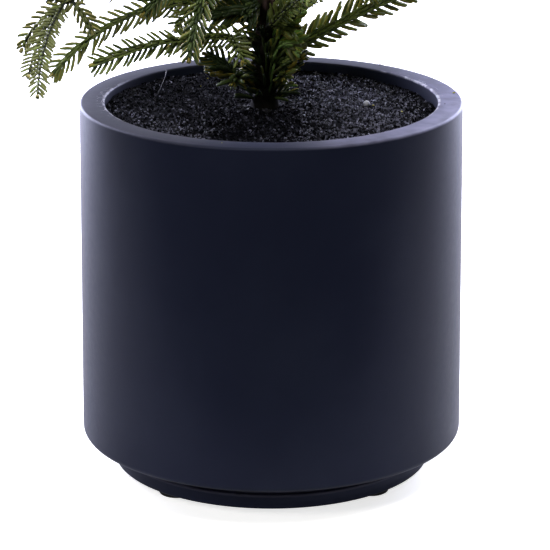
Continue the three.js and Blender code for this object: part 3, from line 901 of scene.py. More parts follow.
# The low whorls: what their boughs share, and a row for each bough.
LOW_WHORLS = [
    ({"bare": 30, "pairs": 1}, [
        (226, 415, 20, -11, 215, -5, {"sag": 0.9, "twig": 0.28, "roll": -67}),
        (176, 438, 31, -52, 226, 4, {"sag": 0.8, "twig": 0.3, "roll": -75}),
        (118, 430, 24, -24, 280, 8, {"pairs": 3}),
        (64, 424, 24, -14, 268, -6, {"pairs": 3, "first": 0.3, "droop": 30}),
        (16, 394, 28, 14, 258, 0, {"pairs": 0, "roll": 68}),
        (290, 427, 31, 11, 236, -2, {"first": 0.7, "twig": 0.3, "droop": 30, "roll": -84}),
    ]),
    ({"bare": 26, "pairs": 3}, [
        (204, 488, -1, -72, 258, -10, {"sag": 4, "first": 0.749, "pairs": 2, "sides": [-1],
                                       "twig": 0.8, "leave": 64, "droop": 10, "roll": -69}),
        (250, 511, 12, -65, 236, 3, {"sag": 1.6, "pairs": 2, "sides": [1], "roll": -26}),
        (318, 516, 26, -18, 306, -5, {}),
        (2, 522, 22, -24, 322, 6, {}),
        (88, 516, 18, -28, 326, -8, {}),
        (146, 512, 17, -30, 328, 5, {}),
    ]),
]
# The even whorls: how many limbs, and one row and the pairs of twigs for all of them.
EVEN_WHORLS = [
    (5, (30, 622, 24, -26, 318, 0, {"pairs": 3})),
    (5, (64, 738, 28, -20, 288, 0, {"pairs": 3})),
    (4, (25, 858, 32, -12, 248, 0, {"pairs": 2})),
    (4, (70, 978, 36, -4, 206, 0, {"pairs": 2})),
    (3, (15, 1098, 40, 6, 166, 0, {"pairs": 2})),
    (3, (75, 1216, 46, 18, 126, 0, {"pairs": 1})),
]
LEADER = (40, 1330, 89, 84, 128, 0, {"pairs": 2, "twig": 0.5})
SPRIGS = [
    (200, 366, 44, 6, 62, 0, {"pairs": 2, "twig": 0.62}),
    (345, 364, 54, 42, 52, 0, {"pairs": 2, "twig": 0.62}),
    (330, 398, 58, 46, 112, 0, {"pairs": 1, "twig": 0.55}),
]
LIMB_DEFAULTS = {"sag": 1.2, "first": 0.07, "sides": [-1, 1], "twig": 0.46, "leave": 48,
                 "droop": 46, "bare": 0, "roll": 0, "curl": 0}
# How far a limb of an even whorl strays from its table, and the key of that chance.
STRAYS = {"turn": (9, 11), "height": (14, 12), "rise": (5, 13), "fall": (7, 14), "curl": (10, 16)}
REACH_SPREAD = 0.08
REACH_KEY = 15
LEADER_KEY = 20
SPRIG_KEY = 22
PATH_STEPS = 48
LAST_TWIG = 0.78
TUFT_PITCH = 33
TWIG_BARE = 13
TWIG_TILT = 0.75
TWIG_SHORTENING = 0.36
TWIG_LENGTH_SPREAD = 0.12
TWIG_CURL = 10
TWIG_RISE = 4
print(len(LOW_WHORLS) + len(EVEN_WHORLS), "whorls")

# %% Chance, paths and frames


def chance(*keys):
    """A repeatable value from 0 to 1 for a list of whole numbers."""
    state = SEED
    for key in keys:
        state = ((state ^ (key + 2654435769)) & WHOLE) * 2246822507 & WHOLE
        state ^= state >> 13
    state = state * 3266489909 & WHOLE
    return (state ^ (state >> 16)) / 4294967296


def spread(size, *keys):
    """A repeatable value between minus and plus a size."""
    return size * (2 * chance(*keys) - 1)


def heading(turn, slope):
    """The direction of a compass turn and a slope, in degrees."""
    turn, slope = np.radians(turn), np.radians(slope)
    return np.stack(
        [np.cos(slope) * np.cos(turn), np.cos(slope) * np.sin(turn), np.sin(slope)], axis=-1
    )


def limb_path(start, limb):
    """The points of a limb whose slope and turn change steadily."""
    share = (np.arange(PATH_STEPS) + 0.5) / PATH_STEPS
    slope = limb["rise"] + (limb["fall"] - limb["rise"]) * share ** limb["sag"]
    steps = heading(limb["turn"] + limb["curl"] * share, slope)
    steps *= limb["reach"] * MM / PATH_STEPS
    return np.vstack([start, start + np.cumsum(steps, axis=0)])


def frames_at(points, shares):
    """Places on a path, with the directions along it, sideways and up."""
    at = np.clip(np.atleast_1d(shares), 0, 1) * (len(points) - 1)
    index = np.minimum(at.astype(int), len(points) - 2)
    along = unit(np.diff(points, axis=0))[index]
    part = (at - index)[:, None]
    place = points[index] * (1 - part) + points[index + 1] * part
    side = np.cross(along, [0, 0, 1])
    side[np.linalg.norm(side, axis=1) < 0.01] = [1, 0, 0]
    side = unit(side)
    return place, along, side, np.cross(side, along)


print("chance is steady:", round(chance(1, 2, 3), 6))

# %% [markdown]
# ### Limbs, masses and twigs
#
# A limb is first a bare bough, where it has one, and then the stem of a mass of needles.
# The solids leave a twig out, or make it shorter, where it would touch a neighbour. That
# test isn't repeated here: a twig's tip is a corner of the node's mesh, so the length that
# the twig was given is found by looking for its tip among those corners.

# %% Growing the limbs


def limb_of(row, shared=None):
    """A limb from a row of a table, with what it shares with others."""
    *values, own = row
    return {**LIMB_DEFAULTS, **(shared or {}), **dict(zip(COLUMNS, values)), **own}


def even_limbs(index, count, row):
    """The limbs of an even whorl, each a little astray from its row."""
    limbs = [limb_of(row) for _ in range(count)]
    for i, limb in enumerate(limbs):
        limb["turn"] += 360 * i / count
        for label, (size, key) in STRAYS.items():
            limb[label] += spread(size, index, i, key)
        limb["reach"] *= 1 + spread(REACH_SPREAD, index, i, REACH_KEY)
    return limbs


def twig_places(mass):
    """Where the side twigs leave the stem, with their side and keys."""
    places = []
    limb, start = mass["limb"], mass["from"]
    for pair in range(limb["pairs"]):
        for direction in limb["sides"]:
            keys = [*mass["keys"], pair, direction + 1]
            stagger = spread(0.025, *keys, 4) + direction * 0.012
            along = limb["first"] + (LAST_TWIG - limb["first"]) * pair / limb["pairs"] + stagger
            places.append((start + (1 - start) * along, direction, keys))
    return places


def twig_path(points, share, direction, length, limb, keys):
    """A side twig: it leaves the stem forwards and sideways, and then hangs."""
    place, along, side, _ = (row[0] for row in frames_at(points, share))
    leave = math.radians(limb["leave"] + spread(7, *keys, 1))
    away = along * math.cos(leave) + side * direction * math.sin(leave)
    slope = math.degrees(math.asin(max(-1, min(1, away[2]))))
    twig = {
        "turn": math.degrees(math.atan2(away[1], away[0])),
        "curl": -direction * TWIG_CURL + spread(5, *keys, 2),
        "rise": slope + TWIG_RISE,
        "fall": slope - limb["droop"] + spread(9, *keys, 3),
        "sag": LIMB_DEFAULTS["sag"],
        "reach": length,
    }
    return limb_path(place, twig)


def make_mass(name, start, limb, keys):
    """A mass: its limb's path, where the needles start, and its bough, if it has one."""
    begin, bough = 0.0, None
    if limb["bare"] > 0:
        width = trunk_radius(limb["height"] * MM) / MM
        begin = (limb["bare"] + width) / limb["reach"] + GAP / MM / limb["reach"]
        bough = name.replace("needles", "bough")
    return {"name": name, "limb": limb, "points": limb_path(start, limb), "from": begin,
            "keys": keys, "bough": bough}


whorls = [[limb_of(row, shared) for row in rows] for shared, rows in LOW_WHORLS]
whorls += [even_limbs(len(LOW_WHORLS) + i, *even) for i, even in enumerate(EVEN_WHORLS)]
masses = []
for index, limbs in enumerate(whorls):
    for i, limb in enumerate(limbs):
        start = trunk_axis(limb["height"] * MM)
        masses.append(make_mass(f"whorl{index + 1}_needles_{i + 1}", start, limb, [index, i]))
leader_start = trunk_axis(TRUNK_TOP) + np.array([0, 0, GAP])
masses.append(make_mass("leader_needles", leader_start, limb_of(LEADER), [LEADER_KEY, 0]))
for i, sprig in enumerate(map(limb_of, SPRIGS)):
    start = trunk_axis(sprig["height"] * MM)
    masses.append(make_mass(f"foot_sprig_{i + 1}", start, sprig, [SPRIG_KEY, i]))
print(len(masses), "masses")

# %% Finding each twig's length in the frame
TIP_SLACK = 0.5 * MM


def grown_twigs(mass):
    """The twigs that the solid has: path, end share, tilt and keys of each."""
    corners = corners_of(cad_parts[mass["name"]])
    limb = mass["limb"]
    twigs = []
    for share, direction, keys in twig_places(mass):
        outer = TWIG_SHORTENING * (share - mass["from"])
        vigour = 1 - outer + spread(TWIG_LENGTH_SPREAD, *keys, 5)
        full = limb["twig"] * limb["reach"] * vigour
        path = twig_path(mass["points"], share, direction, full, limb, keys)
        most = max(2, round((full - TWIG_BARE) / TUFT_PITCH))
        for tufts in range(most, 1, -1):
            end = (TWIG_BARE + (full - TWIG_BARE) * tufts / most) / full
            tip = frames_at(path, end)[0][0]
            if np.linalg.norm(corners - tip, axis=1).min() < TIP_SLACK:
                tilt = spread(TWIG_TILT, *keys, 6)
                twigs.append({"path": path, "end": end, "full": full, "tilt": tilt,
                              "keys": keys, "share": share, "direction": direction})
                break
    return twigs


for mass in masses:
    mass["twigs"] = grown_twigs(mass)
print(sum(len(mass["twigs"]) for mass in masses), "twigs found in the frame")

# %% [markdown]
# ### One needle
#
# A needle of such a tree is a moulded blade some 16 mm long: two thirds as thick as it is
# wide, a little waisted at its root, bent forwards, and blunt at its tip. A four-sided
# cylinder is enough at this size once it is smoothed. Its two flanks are set low, towards its
# back, and the faces behind them are the edge that some needles show in yellow, partly
# their own yellow and partly a painted glow of backlight.

# %% Modelling the needle
NEEDLE_LENGTH = 16 * MM
NEEDLE_WIDTH = 1.6 * MM
NEEDLE_THICKNESS = 1.1 * MM
EDGE_DEPTH = 0.42
NEEDLE_BEND = 0.13
# The outline: shares of the length, and the share of the width at each.
STATIONS = [0, 0.28, 0.64, 0.93, 1]
WIDTHS = [0.62, 0.94, 1, 0.78, 0.3]


def make_needle():
    """A needle of length one along Y: its model, its yellow faces and its bend to +Z."""
    needle = ringed_cylinder("needle", 4, 4)
    points = corners_of(needle)
    share = np.interp(points[:, 2], [0, 0.25, 0.5, 0.75, 1], STATIONS)
    outline = np.interp(share, STATIONS, WIDTHS)
    flank = np.abs(points[:, 0]) > 0.5
    depth = np.where(flank, -EDGE_DEPTH, points[:, 1])
    move_corners(needle, np.stack([points[:, 0] * outline, share, depth * outline], axis=1))
    corners, faces = corners_and_faces(needle)
    middles = corners[faces].mean(axis=1)
    back = middles[:, 2] < -EDGE_DEPTH * 0.9 * np.interp(middles[:, 1], STATIONS, WIDTHS)
    return (corners, faces), back.astype(int), NEEDLE_BEND * corners[:, 1] ** 2


needle_model, needle_back, needle_bend = make_needle()
print("needle", len(needle_back), "triangles")

# %% [markdown]
# ### Combs of needles
#
# Along each stem the needles stand in rows: one comb to each side, three rows of shorter
# needles that lie along its top, and one row below. They lean forwards, grow shorter at the
# tip, and close round it. Every value has a small spread, as no two needles come out of a
# mould and a box alike. Where a bough shows its flat side to the front, each comb is turned
# so that it lies square to that way, and where it doesn't, the rule's own roll is taken.

# %% Setting needles along a path
PITCH = 7.6 * MM
STEM_RADIUS = 2.1 * MM
LEAN = math.radians(52)
# Each row: angle round the stem from its side, share of length, of the lean, and of the
# pitch, and whether its needles show their yellow edge.
ROWS = [
    (0, 0.95, 1.0, 1.0, True),
    (180, 1.14, 0.86, 0.84, True),
    (42, 0.66, 0.46, 1.0, False),
    (132, 0.70, 0.46, 0.9, False),
    (88, 0.55, 0.5, 1.15, False),
    (-90, 0.66, 0.6, 1.0, True),
]
AIRY_ROWS = [ROWS[0], ROWS[1], ROWS[4]]
TIP_NEEDLES = 5
TIP_SETBACK = 3 * MM
FRONTWARD = np.array([0.0, math.cos(LOOK_DOWN), -math.sin(LOOK_DOWN)])


def square_to_front(side, up):
    """The turn that lays a comb square to the way from the front, its top rows forward."""
    return np.arctan2(side @ FRONTWARD, -(up @ FRONTWARD))


def leaning_axes(along, out, lean):
    """The three axes of needles that lean from a stem's direction towards its outside."""
    axis = along * np.cos(lean) + out * np.sin(lean)
    front = along * np.sin(lean) - out * np.cos(lean)
    return np.stack([np.cross(axis, front), axis, front], axis=1)


def row_needles(path, start, run, length, tilt, dice, pitch, scale, row):
    """Places, axes, sizes and edges of one row of needles, or None on too short a run."""
    angle, long, lean, apart, edge = row
    count = int(run / (pitch * apart))
    if count < 1:
        return None
    phase = dice.uniform(0.1, 0.7)
    at = (np.arange(count) + phase + dice.uniform(-0.10, 0.10, count)) * pitch * apart
    at = at[at < run]
    place, along, side, up = frames_at(path, start + at / length)
    roll = square_to_front(side, up) if tilt is None else tilt
    turn = (np.radians(angle) + roll + dice.normal(0, 0.10, len(at)))[:, None]
    out = side * np.cos(turn) + up * np.sin(turn)
    rooted = np.clip(0.7 + at / (25 * MM), 0, 1)
    taper = np.clip(0.5 + (run - at) / (30 * MM), 0, 1) * rooted
    leaning = LEAN * lean * (0.8 + 0.2 * np.clip((run - at) / run * 4, 0, 1))
    leaning = (leaning + dice.normal(0, 0.07, len(at)))[:, None]
    reach = NEEDLE_LENGTH * long * taper * scale * dice.uniform(0.88, 1.1, len(at))
    thick = dice.uniform(0.9, 1.12, len(at)) * (0.75 + 0.25 * taper) * max(1, scale) ** 1.6
    sizes = np.stack([NEEDLE_THICKNESS * thick, reach, NEEDLE_WIDTH * thick], axis=1)
    axes = leaning_axes(along, out, leaning)
    return place + out * STEM_RADIUS * 0.4, axes, sizes, np.full(len(at), edge)


def tip_needle(place, along, side, up, turn, lean, scale):
    """One of the short needles that close round a tip."""
    out = side * math.cos(turn) + up * math.sin(turn)
    size = [NEEDLE_THICKNESS * 0.85, NEEDLE_LENGTH * 0.45 * scale, NEEDLE_WIDTH * 0.85]
    return place, leaning_axes(along, out, lean), np.array([size]), [True]


def comb(path, start, end, tilt, length, dice, pitch=PITCH, scale=1.0, rows=ROWS):
    """Places, axes, sizes and edges of the needles along a path of a length in metres."""
    run = (end - start) * length
    made = [row_needles(path, start, run, length, tilt, dice, pitch, scale, row)
            for row in rows]
    made = [row for row in made if row]
    tip = frames_at(path, end - TIP_SETBACK / length)
    for k in range(TIP_NEEDLES):
        turn = k * 2 * math.pi / TIP_NEEDLES + dice.uniform(0, 0.6)
        made.append(tip_needle(*tip, turn, dice.uniform(0.2, 0.5), scale))
    return [np.concatenate(parts) for parts in zip(*made)]


print("rows round a stem:", len(ROWS))

# %% [markdown]
# The twigs themselves are slim tapering tubes under the needles, sunk into the stem that
# carries them. They are made ring by ring along the same paths.

# %% Tubes along paths


def tube(path, start, end, first_radius, last_radius, sides=6, steps=None, wobble=0.0):
    """Corners and faces of a closed tapering tube between two shares of a path."""
    length = np.linalg.norm(np.diff(path, axis=0), axis=1).sum() * (end - start)
    steps = steps or max(3, int(length / (11 * MM)))
    place, along, side, up = frames_at(path, np.linspace(start, end, steps + 1))
    turn = np.arange(sides) * 2 * math.pi / sides
    radius = np.linspace(first_radius, last_radius, steps + 1)[:, None]
    radius = radius * (1 + wobble * np.sin(np.arange(steps + 1)[:, None] * 2.4 + turn * 2))
    ring = (
        place[:, None, :]
        + side[:, None, :] * (radius * np.cos(turn))[:, :, None]
        + up[:, None, :] * (radius * np.sin(turn))[:, :, None]
    )
    points = np.vstack([ring.reshape(-1, 3), place[0], place[-1]])
    low, high, last = len(points) - 2, len(points) - 1, steps * sides
    faces = []
    for first in range(0, last, sides):
        for k in range(sides):
            a, b = first + k, first + (k + 1) % sides
            faces += [(a, a + sides, b), (b, a + sides, b + sides)]
    for k in range(sides):
        after = (k + 1) % sides
        faces += [(low, k, after), (high, last + after, last + k)]
    return points, np.array(faces)


class Heap:
    """Collects parts of one joined mesh, with a tint for each face."""

    def __init__(self):
        self.corners, self.faces, self.tints, self.count = [], [], [], 0

    def add(self, corners, faces, tints=0):
        self.corners.append(corners)
        self.faces.append(faces + self.count)
        self.tints.append(np.broadcast_to(tints, len(faces)))
        self.count += len(corners)

    def piece(self, name, finishes):
        arrays = [np.concatenate(parts) for parts in (self.corners, self.faces, self.tints)]
        return joined_mesh(name, arrays[0], arrays[1], finishes, arrays[2])


print("tubes ready")

# %% [markdown]
# ### What has fallen on the soil and the rim
#
# Used planters are never clean. A ball of perlite lies among the granules, with a few
# yellow-green flecks of needles, some dark crumbs round the trunk's foot, and one thin
# fibre that hangs over the inner edge. Crumbs and flecks are the granules' chip in other
# sizes, and the ball is a sphere with a Displace modifier.

# %% Perlite, flecks, crumbs and a fibre
# x, y, length and width in mm, what they lie on, and the finish: fleck, pale or dark.
FALLEN = [
    (97.2, 18.3, 2.4, 1.2, "soil", 0),
    (123.4, -1.8, 2.6, 1.1, "soil", 0),
    (-62.7, 118.1, 1.4, 0.7, "soil", 0),
    (-68.8, 85.1, 1.2, 0.6, "soil", 0),
    (24.0, 31.0, 1.0, 0.6, "soil", 0),
    (173.9, 24.5, 2.0, 1.4, "rim", 0),
    (-43.9, -160.6, 0.9, 0.5, "rim", 0),
    (139.7, 2.1, 1.3, 0.8, "soil", 1),
    (88.2, 19.0, 1.0, 0.8, "soil", 1),
    (107.4, 139.7, 2.0, 1.4, "rim", 2),
    (163.0, -18.4, 1.0, 0.6, "rim", 2),
]
FALLEN_FINISHES = [
    ("fleck", (0.46, 0.42, 0.03), 0.6),
    ("pale_crumb", (0.45, 0.45, 0.50), 0.7),
    ("dark_crumb", (0.004, 0.004, 0.006), 0.6),
]
CRUMBS = 80
# Beside the trunk's foot, in front of it and at its left, in mm.
CRUMB_PLACES = [(29, 17), (-4, -15), (-22, -4)]
PERLITE_PLACE = (91 * MM, 21 * MM)
PERLITE_RADIUS = 3.0 * MM
FIBRE_TOP = (-103.9 * MM, 117.8 * MM, 361.4 * MM)
FIBRE_FOOT = (-109.5 * MM, 52.8 * MM)


def make_fallen():
    """Flecks and crumbs as one joined mesh, each lying nearly flat."""
    chip = make_chip()
    dice = np.random.default_rng(SEED + 9)
    rows = list(FALLEN)
    for i in range(CRUMBS):
        x, y = CRUMB_PLACES[i % len(CRUMB_PLACES)] + dice.normal(0, 7, 2)
        rows.append((x, y, dice.uniform(1.6, 3.4), dice.uniform(0.6, 1.0), "soil", 2))
    sizes = np.array([(long, wide, wide * 0.8) for _, _, long, wide, _, _ in rows]) * MM
    flat = np.array([(x * MM, y * MM) for x, y, *_ in rows])
    on_rim = np.array([row[4] == "rim" for row in rows])
    height = np.where(on_rim, PLANTER_HEIGHT, ground(flat[:, 0], flat[:, 1]) + 0.8 * MM)
    places = np.column_stack([flat, height + sizes[:, 2] * 0.4])
    first = random_axes(dice, len(rows))[:, 0] * [1, 1, 0.25]
    first = unit(first)
    second = unit(np.cross([0, 0, 1], first))
    axes = np.stack([first, second, np.cross(first, second)], axis=1)
    corners, faces = strewn(chip, places, axes, sizes)
    tints = np.repeat([row[5] for row in rows], len(chip[1]))
    finishes = [Finish(*row) for row in FALLEN_FINISHES]
    return joined_mesh("fallen_crumbs", corners, faces, finishes, tints, False)


def make_perlite():
    """A ball of perlite, sunk a little between the granules."""
    x, y = PERLITE_PLACE
    lay_aside()
    place = (x, y, ground(x, y) + PERLITE_RADIUS * 0.75)
    bpy.ops.mesh.primitive_ico_sphere_add(subdivisions=3, radius=PERLITE_RADIUS, location=place)
    ball = named("perlite_ball")
    ridged(ball, "CLOUDS", 2.2 * MM, 1.8 * MM)
    finish = Finish("perlite", (0.66, 0.67, 0.78), 0.75)
    finish.relief(finish.noise(900, 3), 0.3 * MM)
    return finish.coat(settle(ball, 60))


def make_fibre():
    """A thin fibre that hangs from the inner edge down to the soil."""
    share = np.linspace(0, 1, 25)[:, None]
    top = np.array(FIBRE_TOP)
    foot = np.array([*FIBRE_FOOT, ground(*FIBRE_FOOT) + 1.2 * MM])
    slack = np.array([3.0, 0, 5.0]) * MM * np.sin(share * math.pi)
    shape = tube(top + (foot - top) * share + slack, 0, 1, 0.22 * MM, 0.16 * MM, 5, 24)
    return joined_mesh("fallen_fibre", *shape, [Finish("fibre", (0.10, 0.10, 0.115), 0.6)])


for piece in (make_fallen(), make_perlite(), make_fibre()):
    dress(piece, "soil")

# %% [markdown]
# ### The finishes of the needles
#
# Needles are smooth moulded plastic with a soft sheen. The tree looks alive because the
# sprays differ: most are deep green and some are mossy, the left tips are painted pale as
# painted backlight, and some sprays at the right of the foot are painted fresh green as
# painted light. So there are pairs of plain colours, one for the needle and one for its
# yellow edge, which is partly the needle's own yellow and partly a painted glow of
# backlight, and each spray is dealt a pair.

# %% Needle finishes
# Each tint: the needle's colour and that of its edge. The edge's yellow is partly the needle's
# own and partly a painted glow of backlight.
TINTS = {
    "deep": ((0.029, 0.052, 0.017), (0.260, 0.215, 0.034)),
    "green": ((0.082, 0.126, 0.034), (0.380, 0.315, 0.052)),
    "moss": ((0.222, 0.286, 0.076), (0.460, 0.385, 0.085)),
    "pale": ((0.178, 0.204, 0.072), (0.500, 0.445, 0.170)),
    "fresh_lit": ((0.350, 0.570, 0.160), (0.480, 0.500, 0.080)),
}
DEEP, GREEN, MOSS, BACKLIT_PALE, FRESH_LIT = range(len(TINTS))
# The pale tint of whorl2's first mass is painted backlight on its tips, and the fresh tint of the
# third sprig is partly painted light.
SPRAY_TINTS = {
    "whorl2_needles_1": BACKLIT_PALE,
    "whorl1_needles_1": MOSS,
    "whorl1_needles_2": MOSS,
    "whorl1_needles_5": MOSS,
    "whorl1_needles_3": DEEP,
    "whorl1_needles_4": DEEP,
    "whorl1_needles_6": MOSS,
    "whorl2_needles_2": GREEN,
    "foot_sprig_3": FRESH_LIT,
}
SPRAY_SCALES = {"whorl2_needles_1": 0.74, "whorl1_needles_5": 1.25}
# Sprays with fewer rows, and how far along its stem each of them starts with deep green.
AIRY = {"whorl2_needles_1": 0.68}

needle_finishes = []
for i, half in enumerate(("front", "back")):
    for tint, colors in TINTS.items():
        name = f"needle_{tint}_{half}"
        needle_finishes.append(Finish(name, colors[i], 0.42, Specular_IOR_Level=0.40))
stem_finish = Finish("stem_green", (0.012, 0.020, 0.008), 0.6)
print(len(needle_finishes), "needle finishes")

# %% [markdown]
# ### Growing the foliage
#
# Each whorl becomes two pieces, one of needles and one of twigs, that stand for all the
# masses of that whorl. Between the twigs of the solids there are shorter ones here, which
# stay inside the reach of their mass.

# %% Needles in their tints
STRAY_SHARE = 0.2


def dealt_needles(heap, places, axes, sizes, edged, tint, dice):
    """Adds needles in a tint, with some strays a shade off."""
    points, faces = strewn(needle_model, places, axes, sizes, needle_bend)
    tint = np.full(len(places), tint)
    stray = dice.random(len(tint)) < STRAY_SHARE
    tint[stray] = np.clip(tint[stray] + dice.choice([-1, 1], stray.sum()), DEEP, BACKLIT_PALE)
    both = tint[:, None] + len(TINTS) * needle_back * edged[:, None]
    heap.add(points, faces, both.ravel())


def add_needles(heap, tint, path, start, end, tilt, length, keys, scale, pitch, rows=ROWS):
    """Adds the combs of one spray in its own tint."""
    dice = np.random.default_rng([SEED, *[int(k) for k in keys]])
    made = comb(path, start, end, tilt, length, dice, pitch, scale, rows)
    dealt_needles(heap, *made, tint, dice)


def deal_tint(mass, keys):
    """A spray's pair of colours: its mass's own, or deep, green or moss by chance."""
    if mass["name"] in SPRAY_TINTS:
        return SPRAY_TINTS[mass["name"]]
    return int(np.searchsorted([0.4, 0.8, 1.0], chance(*keys, 40)))


print("needles can be dealt")

# %% Twigs and masses
TWIG_RADII = (1.9 * MM, 1.0 * MM)
STEM_TIP_RADIUS = 1.2 * MM
STEM_BARE = 15 * MM
LONG_LIMB = 120
FOOT_SCALE = 1.35


def finer_twigs(mass):
    """Short twigs half way between the mass's own ones."""
    limb = mass["limb"]
    if limb["twig"] < 0.4 or limb["reach"] < LONG_LIMB or len(limb["sides"]) < 2:
        return []
    extra = []
    step = (1 - mass["from"]) * (LAST_TWIG - limb["first"]) / max(1, limb["pairs"]) / 2
    for twig in mass["twigs"]:
        keys = [*twig["keys"], 31]
        share = twig["share"] + step * (0.9 + 0.2 * chance(*keys, 2))
        if share > 0.93:
            continue
        full = twig["full"] * (0.50 + 0.14 * chance(*keys, 3))
        path = twig_path(mass["points"], share, twig["direction"], full, limb, keys)
        tilt = spread(TWIG_TILT, *keys, 6)
        extra.append({"path": path, "end": 1.0, "full": full, "tilt": tilt, "keys": keys})
    return extra


def grow_mass(mass, needles, twigs):
    """Adds a mass's stem, twigs and finer twigs to the two heaps."""
    limb, points, name = mass["limb"], mass["points"], mass["name"]
    length = limb["reach"] * MM
    bare = 0.0 if name == "leader_needles" else STEM_BARE / length
    at_foot = name.startswith("foot")
    scale = FOOT_SCALE if at_foot else SPRAY_SCALES.get(name, 1.0)
    pitch = PITCH * (FOOT_SCALE if at_foot else min(1.0, scale * 1.1))
    rows = AIRY_ROWS if name in AIRY else ROWS
    woody = 3.0 * MM if limb["reach"] > LONG_LIMB else 2.0 * MM
    twigs.add(*tube(points, mass["from"], 0.985, woody, STEM_TIP_RADIUS, 7, None, 0.05))
    tilt = None if limb["roll"] else -spread(0.08, *mass["keys"], 9)
    keys = [*mass["keys"], 50]
    if name in AIRY:
        add_needles(needles, DEEP, points, bare, AIRY[name], tilt, length, [*keys, 1], scale,
                    pitch)
        bare = AIRY[name]
    add_needles(needles, deal_tint(mass, keys), points, bare, 1.0, tilt, length, keys, scale,
                pitch, rows)
    for twig in mass["twigs"] + finer_twigs(mass):
        run = twig["full"] * MM
        twigs.add(*tube(twig["path"], 0.0, twig["end"] * 0.98, *TWIG_RADII))
        tilt = None if limb["roll"] else -twig["tilt"]
        add_needles(needles, deal_tint(mass, twig["keys"]), twig["path"],
                    min(0.3, 6 * MM / run), twig["end"], tilt, run, twig["keys"], scale,
                    pitch, rows)


print(len(SPRAY_TINTS), "masses with a tint of their own")

# %% [markdown]
# Round the lower trunk the needles stand so close that they all but hide the bark, and
# small sprays fill the gaps between the boughs. They are painted greener at the right, as
# painted light, and the needles round the trunk darker elsewhere, as painted shade.

# %% Round the lower trunk
COAT_LOW = TRUNK_FOOT + 9 * MM
COAT_HIGH = 520 * MM
COAT_PITCH = 6.5 * MM
COAT_SIDES = 16
COAT_NEEDLE = 22 * MM
# Carrier, its height in mm or share of its path, turn, rise, fall, reach in mm, and tint.
# The fresh green tints of the sprays at the right of the trunk are partly painted light.
SHORT_SPRAYS = [
    ("trunk", 416, 340, 10, -25, 32, FRESH_LIT),
    ("trunk", 404, 350, 15, -15, 30, FRESH_LIT),
    ("trunk", 428, 325, 25, -5, 36, MOSS),
    ("trunk", 396, 10, 30, 10, 36, GREEN),
    ("trunk", 440, 200, 25, -20, 55, DEEP),
    ("trunk", 446, 165, 20, -15, 60, DEEP),
    ("trunk", 452, 240, 20, -40, 40, DEEP),
    ("trunk", 424, 0, 8, -30, 26, FRESH_LIT),
    ("trunk", 386, 340, 40, 20, 34, GREEN),
    ("foot_sprig_1", 0.55, 178, 48, 20, 36, DEEP),
    ("whorl2_needles_1", 0.66, 188, 2, -12, 40, DEEP),
    ("whorl2_needles_1", 0.74, 345, -48, -66, 36, BACKLIT_PALE),
]


def trunk_needles(heap):
    """Needles that stand round the lower trunk and all but hide its bark."""
    dice = np.random.default_rng(SEED + 5)
    height = np.repeat(np.arange(COAT_LOW, COAT_HIGH, COAT_PITCH), COAT_SIDES)
    count = len(height)
    turn = np.tile(np.arange(COAT_SIDES) * 2 * math.pi / COAT_SIDES, count // COAT_SIDES)
    turn = turn + height / (7.5 * MM) * 0.29 + dice.normal(0, 0.15, count)
    height = height + dice.uniform(-3, 3, count) * MM
    bark_shows = (height > BARK_SHOWS) & (np.abs(np.sin(turn) + 1) < 0.35)
    bare_foot = (height < 362 * MM) & (np.sin(turn) < -0.75)
    keep = (dice.random(count) < 0.9) & ~bark_shows & ~bare_foot
    turn, height = turn[keep], height[keep]
    count = len(turn)
    out = np.stack([np.cos(turn), np.sin(turn), 0 * turn], axis=1)
    ahead = np.clip(-np.sin(turn), 0, 1)
    rise = np.radians(dice.normal(24, 22, count) + 38 * ahead)[:, None]
    places = trunk_axis(height) + out * (trunk_radius(height) - 1.5 * MM)[:, None]
    axes = leaning_axes(out, np.array([0.0, 0.0, 1.0]), rise)
    reach = COAT_NEEDLE * dice.uniform(0.7, 1.25, count)
    wide = dice.uniform(0.9, 1.25, count)
    sizes = np.stack([NEEDLE_THICKNESS * wide, reach, NEEDLE_WIDTH * wide], axis=1)
    edged = dice.random(count) < 0.35
    every_third = np.arange(count) % 3 == 1
    # Painted light: needles on the right-hand side are dealt fresh and moss tints, and the rest
    # green and deep, as painted shade.
    sunny = (np.cos(turn) > 0.3) & (height > 372 * MM) & (height < 470 * MM)
    dealt = np.where(sunny, np.where(every_third, FRESH_LIT, MOSS),
                     np.where(every_third, GREEN, DEEP))
    for tint in np.unique(dealt):
        own = dealt == tint
        dealt_needles(heap, places[own], axes[own], sizes[own], edged[own], tint, dice)


def short_sprays(needles, twigs):
    """Small sprays that fill the gaps round the lower trunk."""
    carriers = {mass["name"]: mass for mass in masses}
    scales = {"trunk": 1.35, "foot_sprig_1": 1.1}
    for i, (carrier, at, turn, rise, fall, reach, tint) in enumerate(SHORT_SPRAYS):
        if carrier == "trunk":
            start = trunk_axis(at * MM)
        else:
            start = frames_at(carriers[carrier]["points"], at)[0][0]
        shape = {**LIMB_DEFAULTS, "turn": turn, "rise": rise, "fall": fall, "reach": reach}
        path = limb_path(start, shape)
        twigs.add(*tube(path, 0.0, 0.98, *TWIG_RADII))
        begin = 12 / reach if carrier == "trunk" else 0.1
        add_needles(needles, tint, path, begin, 1.0, None, reach * MM, [60, i],
                    scales.get(carrier, 0.72), PITCH * 0.8)


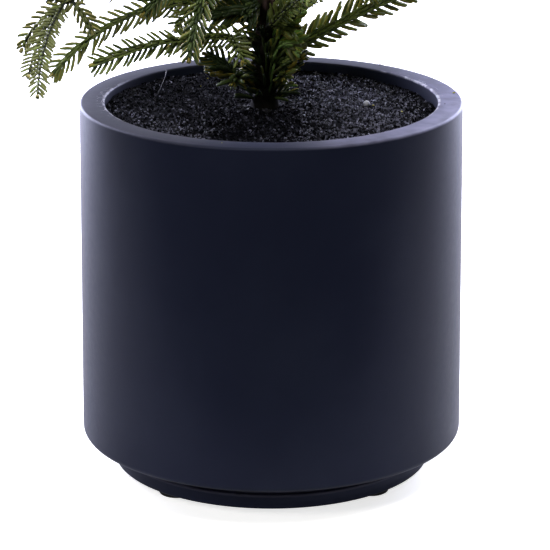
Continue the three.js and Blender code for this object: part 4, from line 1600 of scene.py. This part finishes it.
groups = {f"whorl{i + 1}": f"whorl{i + 1}_" for i in range(len(whorls))}
groups.update(leader="leader", sprigs="foot")
for name, beginning in groups.items():
    members = [mass for mass in masses if mass["name"].startswith(beginning)]
    needles, twigs = Heap(), Heap()
    for mass in members:
        grow_mass(mass, needles, twigs)
    if name == "sprigs":
        trunk_needles(needles)
        short_sprays(needles, twigs)
    dress(needles.piece(name + "_foliage", needle_finishes), "needles",
          *[mass["name"] for mass in members])
    dress(twigs.piece(name + "_twigs", [stem_finish]), "needles")

# %% Boughs
BOUGH_RADIUS = 4.2 * MM
BOUGH_TIP_RADIUS = 2.9 * MM
BOUGH_DARK = (0.010, 0.014, 0.006)
BOUGH_BROWN = (0.040, 0.042, 0.018)


def make_bough(mass):
    """A bough from inside the trunk's bark to where its needles start."""
    bough = ringed_cylinder(mass["bough"].replace("bough", "limb"), 14, 26)
    points = corners_of(bough)
    share = points[:, 2]
    place, along, side, up = frames_at(mass["points"], share * mass["from"])
    angle = np.arctan2(points[:, 1], points[:, 0])
    radius = BOUGH_RADIUS + (BOUGH_TIP_RADIUS - BOUGH_RADIUS) * share
    radius = radius * (1 + 0.06 * np.sin(share * 40 + 3 * angle)) - 0.2 * MM
    across = points[:, :2] * radius[:, None]
    move_corners(bough, place + side * across[:, :1] + up * across[:, 1:])
    ridged(bough, "CLOUDS", 3 * MM, 0.5 * MM)
    return settle(bough, 50)


bough_finish = Finish("wrapped_bough", BOUGH_BROWN, 0.65)
grain = bough_finish.noise(240, 3)
bough_finish.feed("Base Color", bough_finish.mix(grain.ramp(0.4, 0.65), BOUGH_DARK, BOUGH_BROWN))
bough_finish.relief(grain, 0.5 * MM)
for mass in masses:
    if mass["bough"]:
        dress(bough_finish.coat(make_bough(mass)), "bough", mass["bough"])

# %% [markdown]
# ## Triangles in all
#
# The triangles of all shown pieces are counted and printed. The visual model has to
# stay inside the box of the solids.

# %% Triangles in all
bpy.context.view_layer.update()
total = sum(triangles(piece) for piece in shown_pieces())
print("triangles in all:", total)
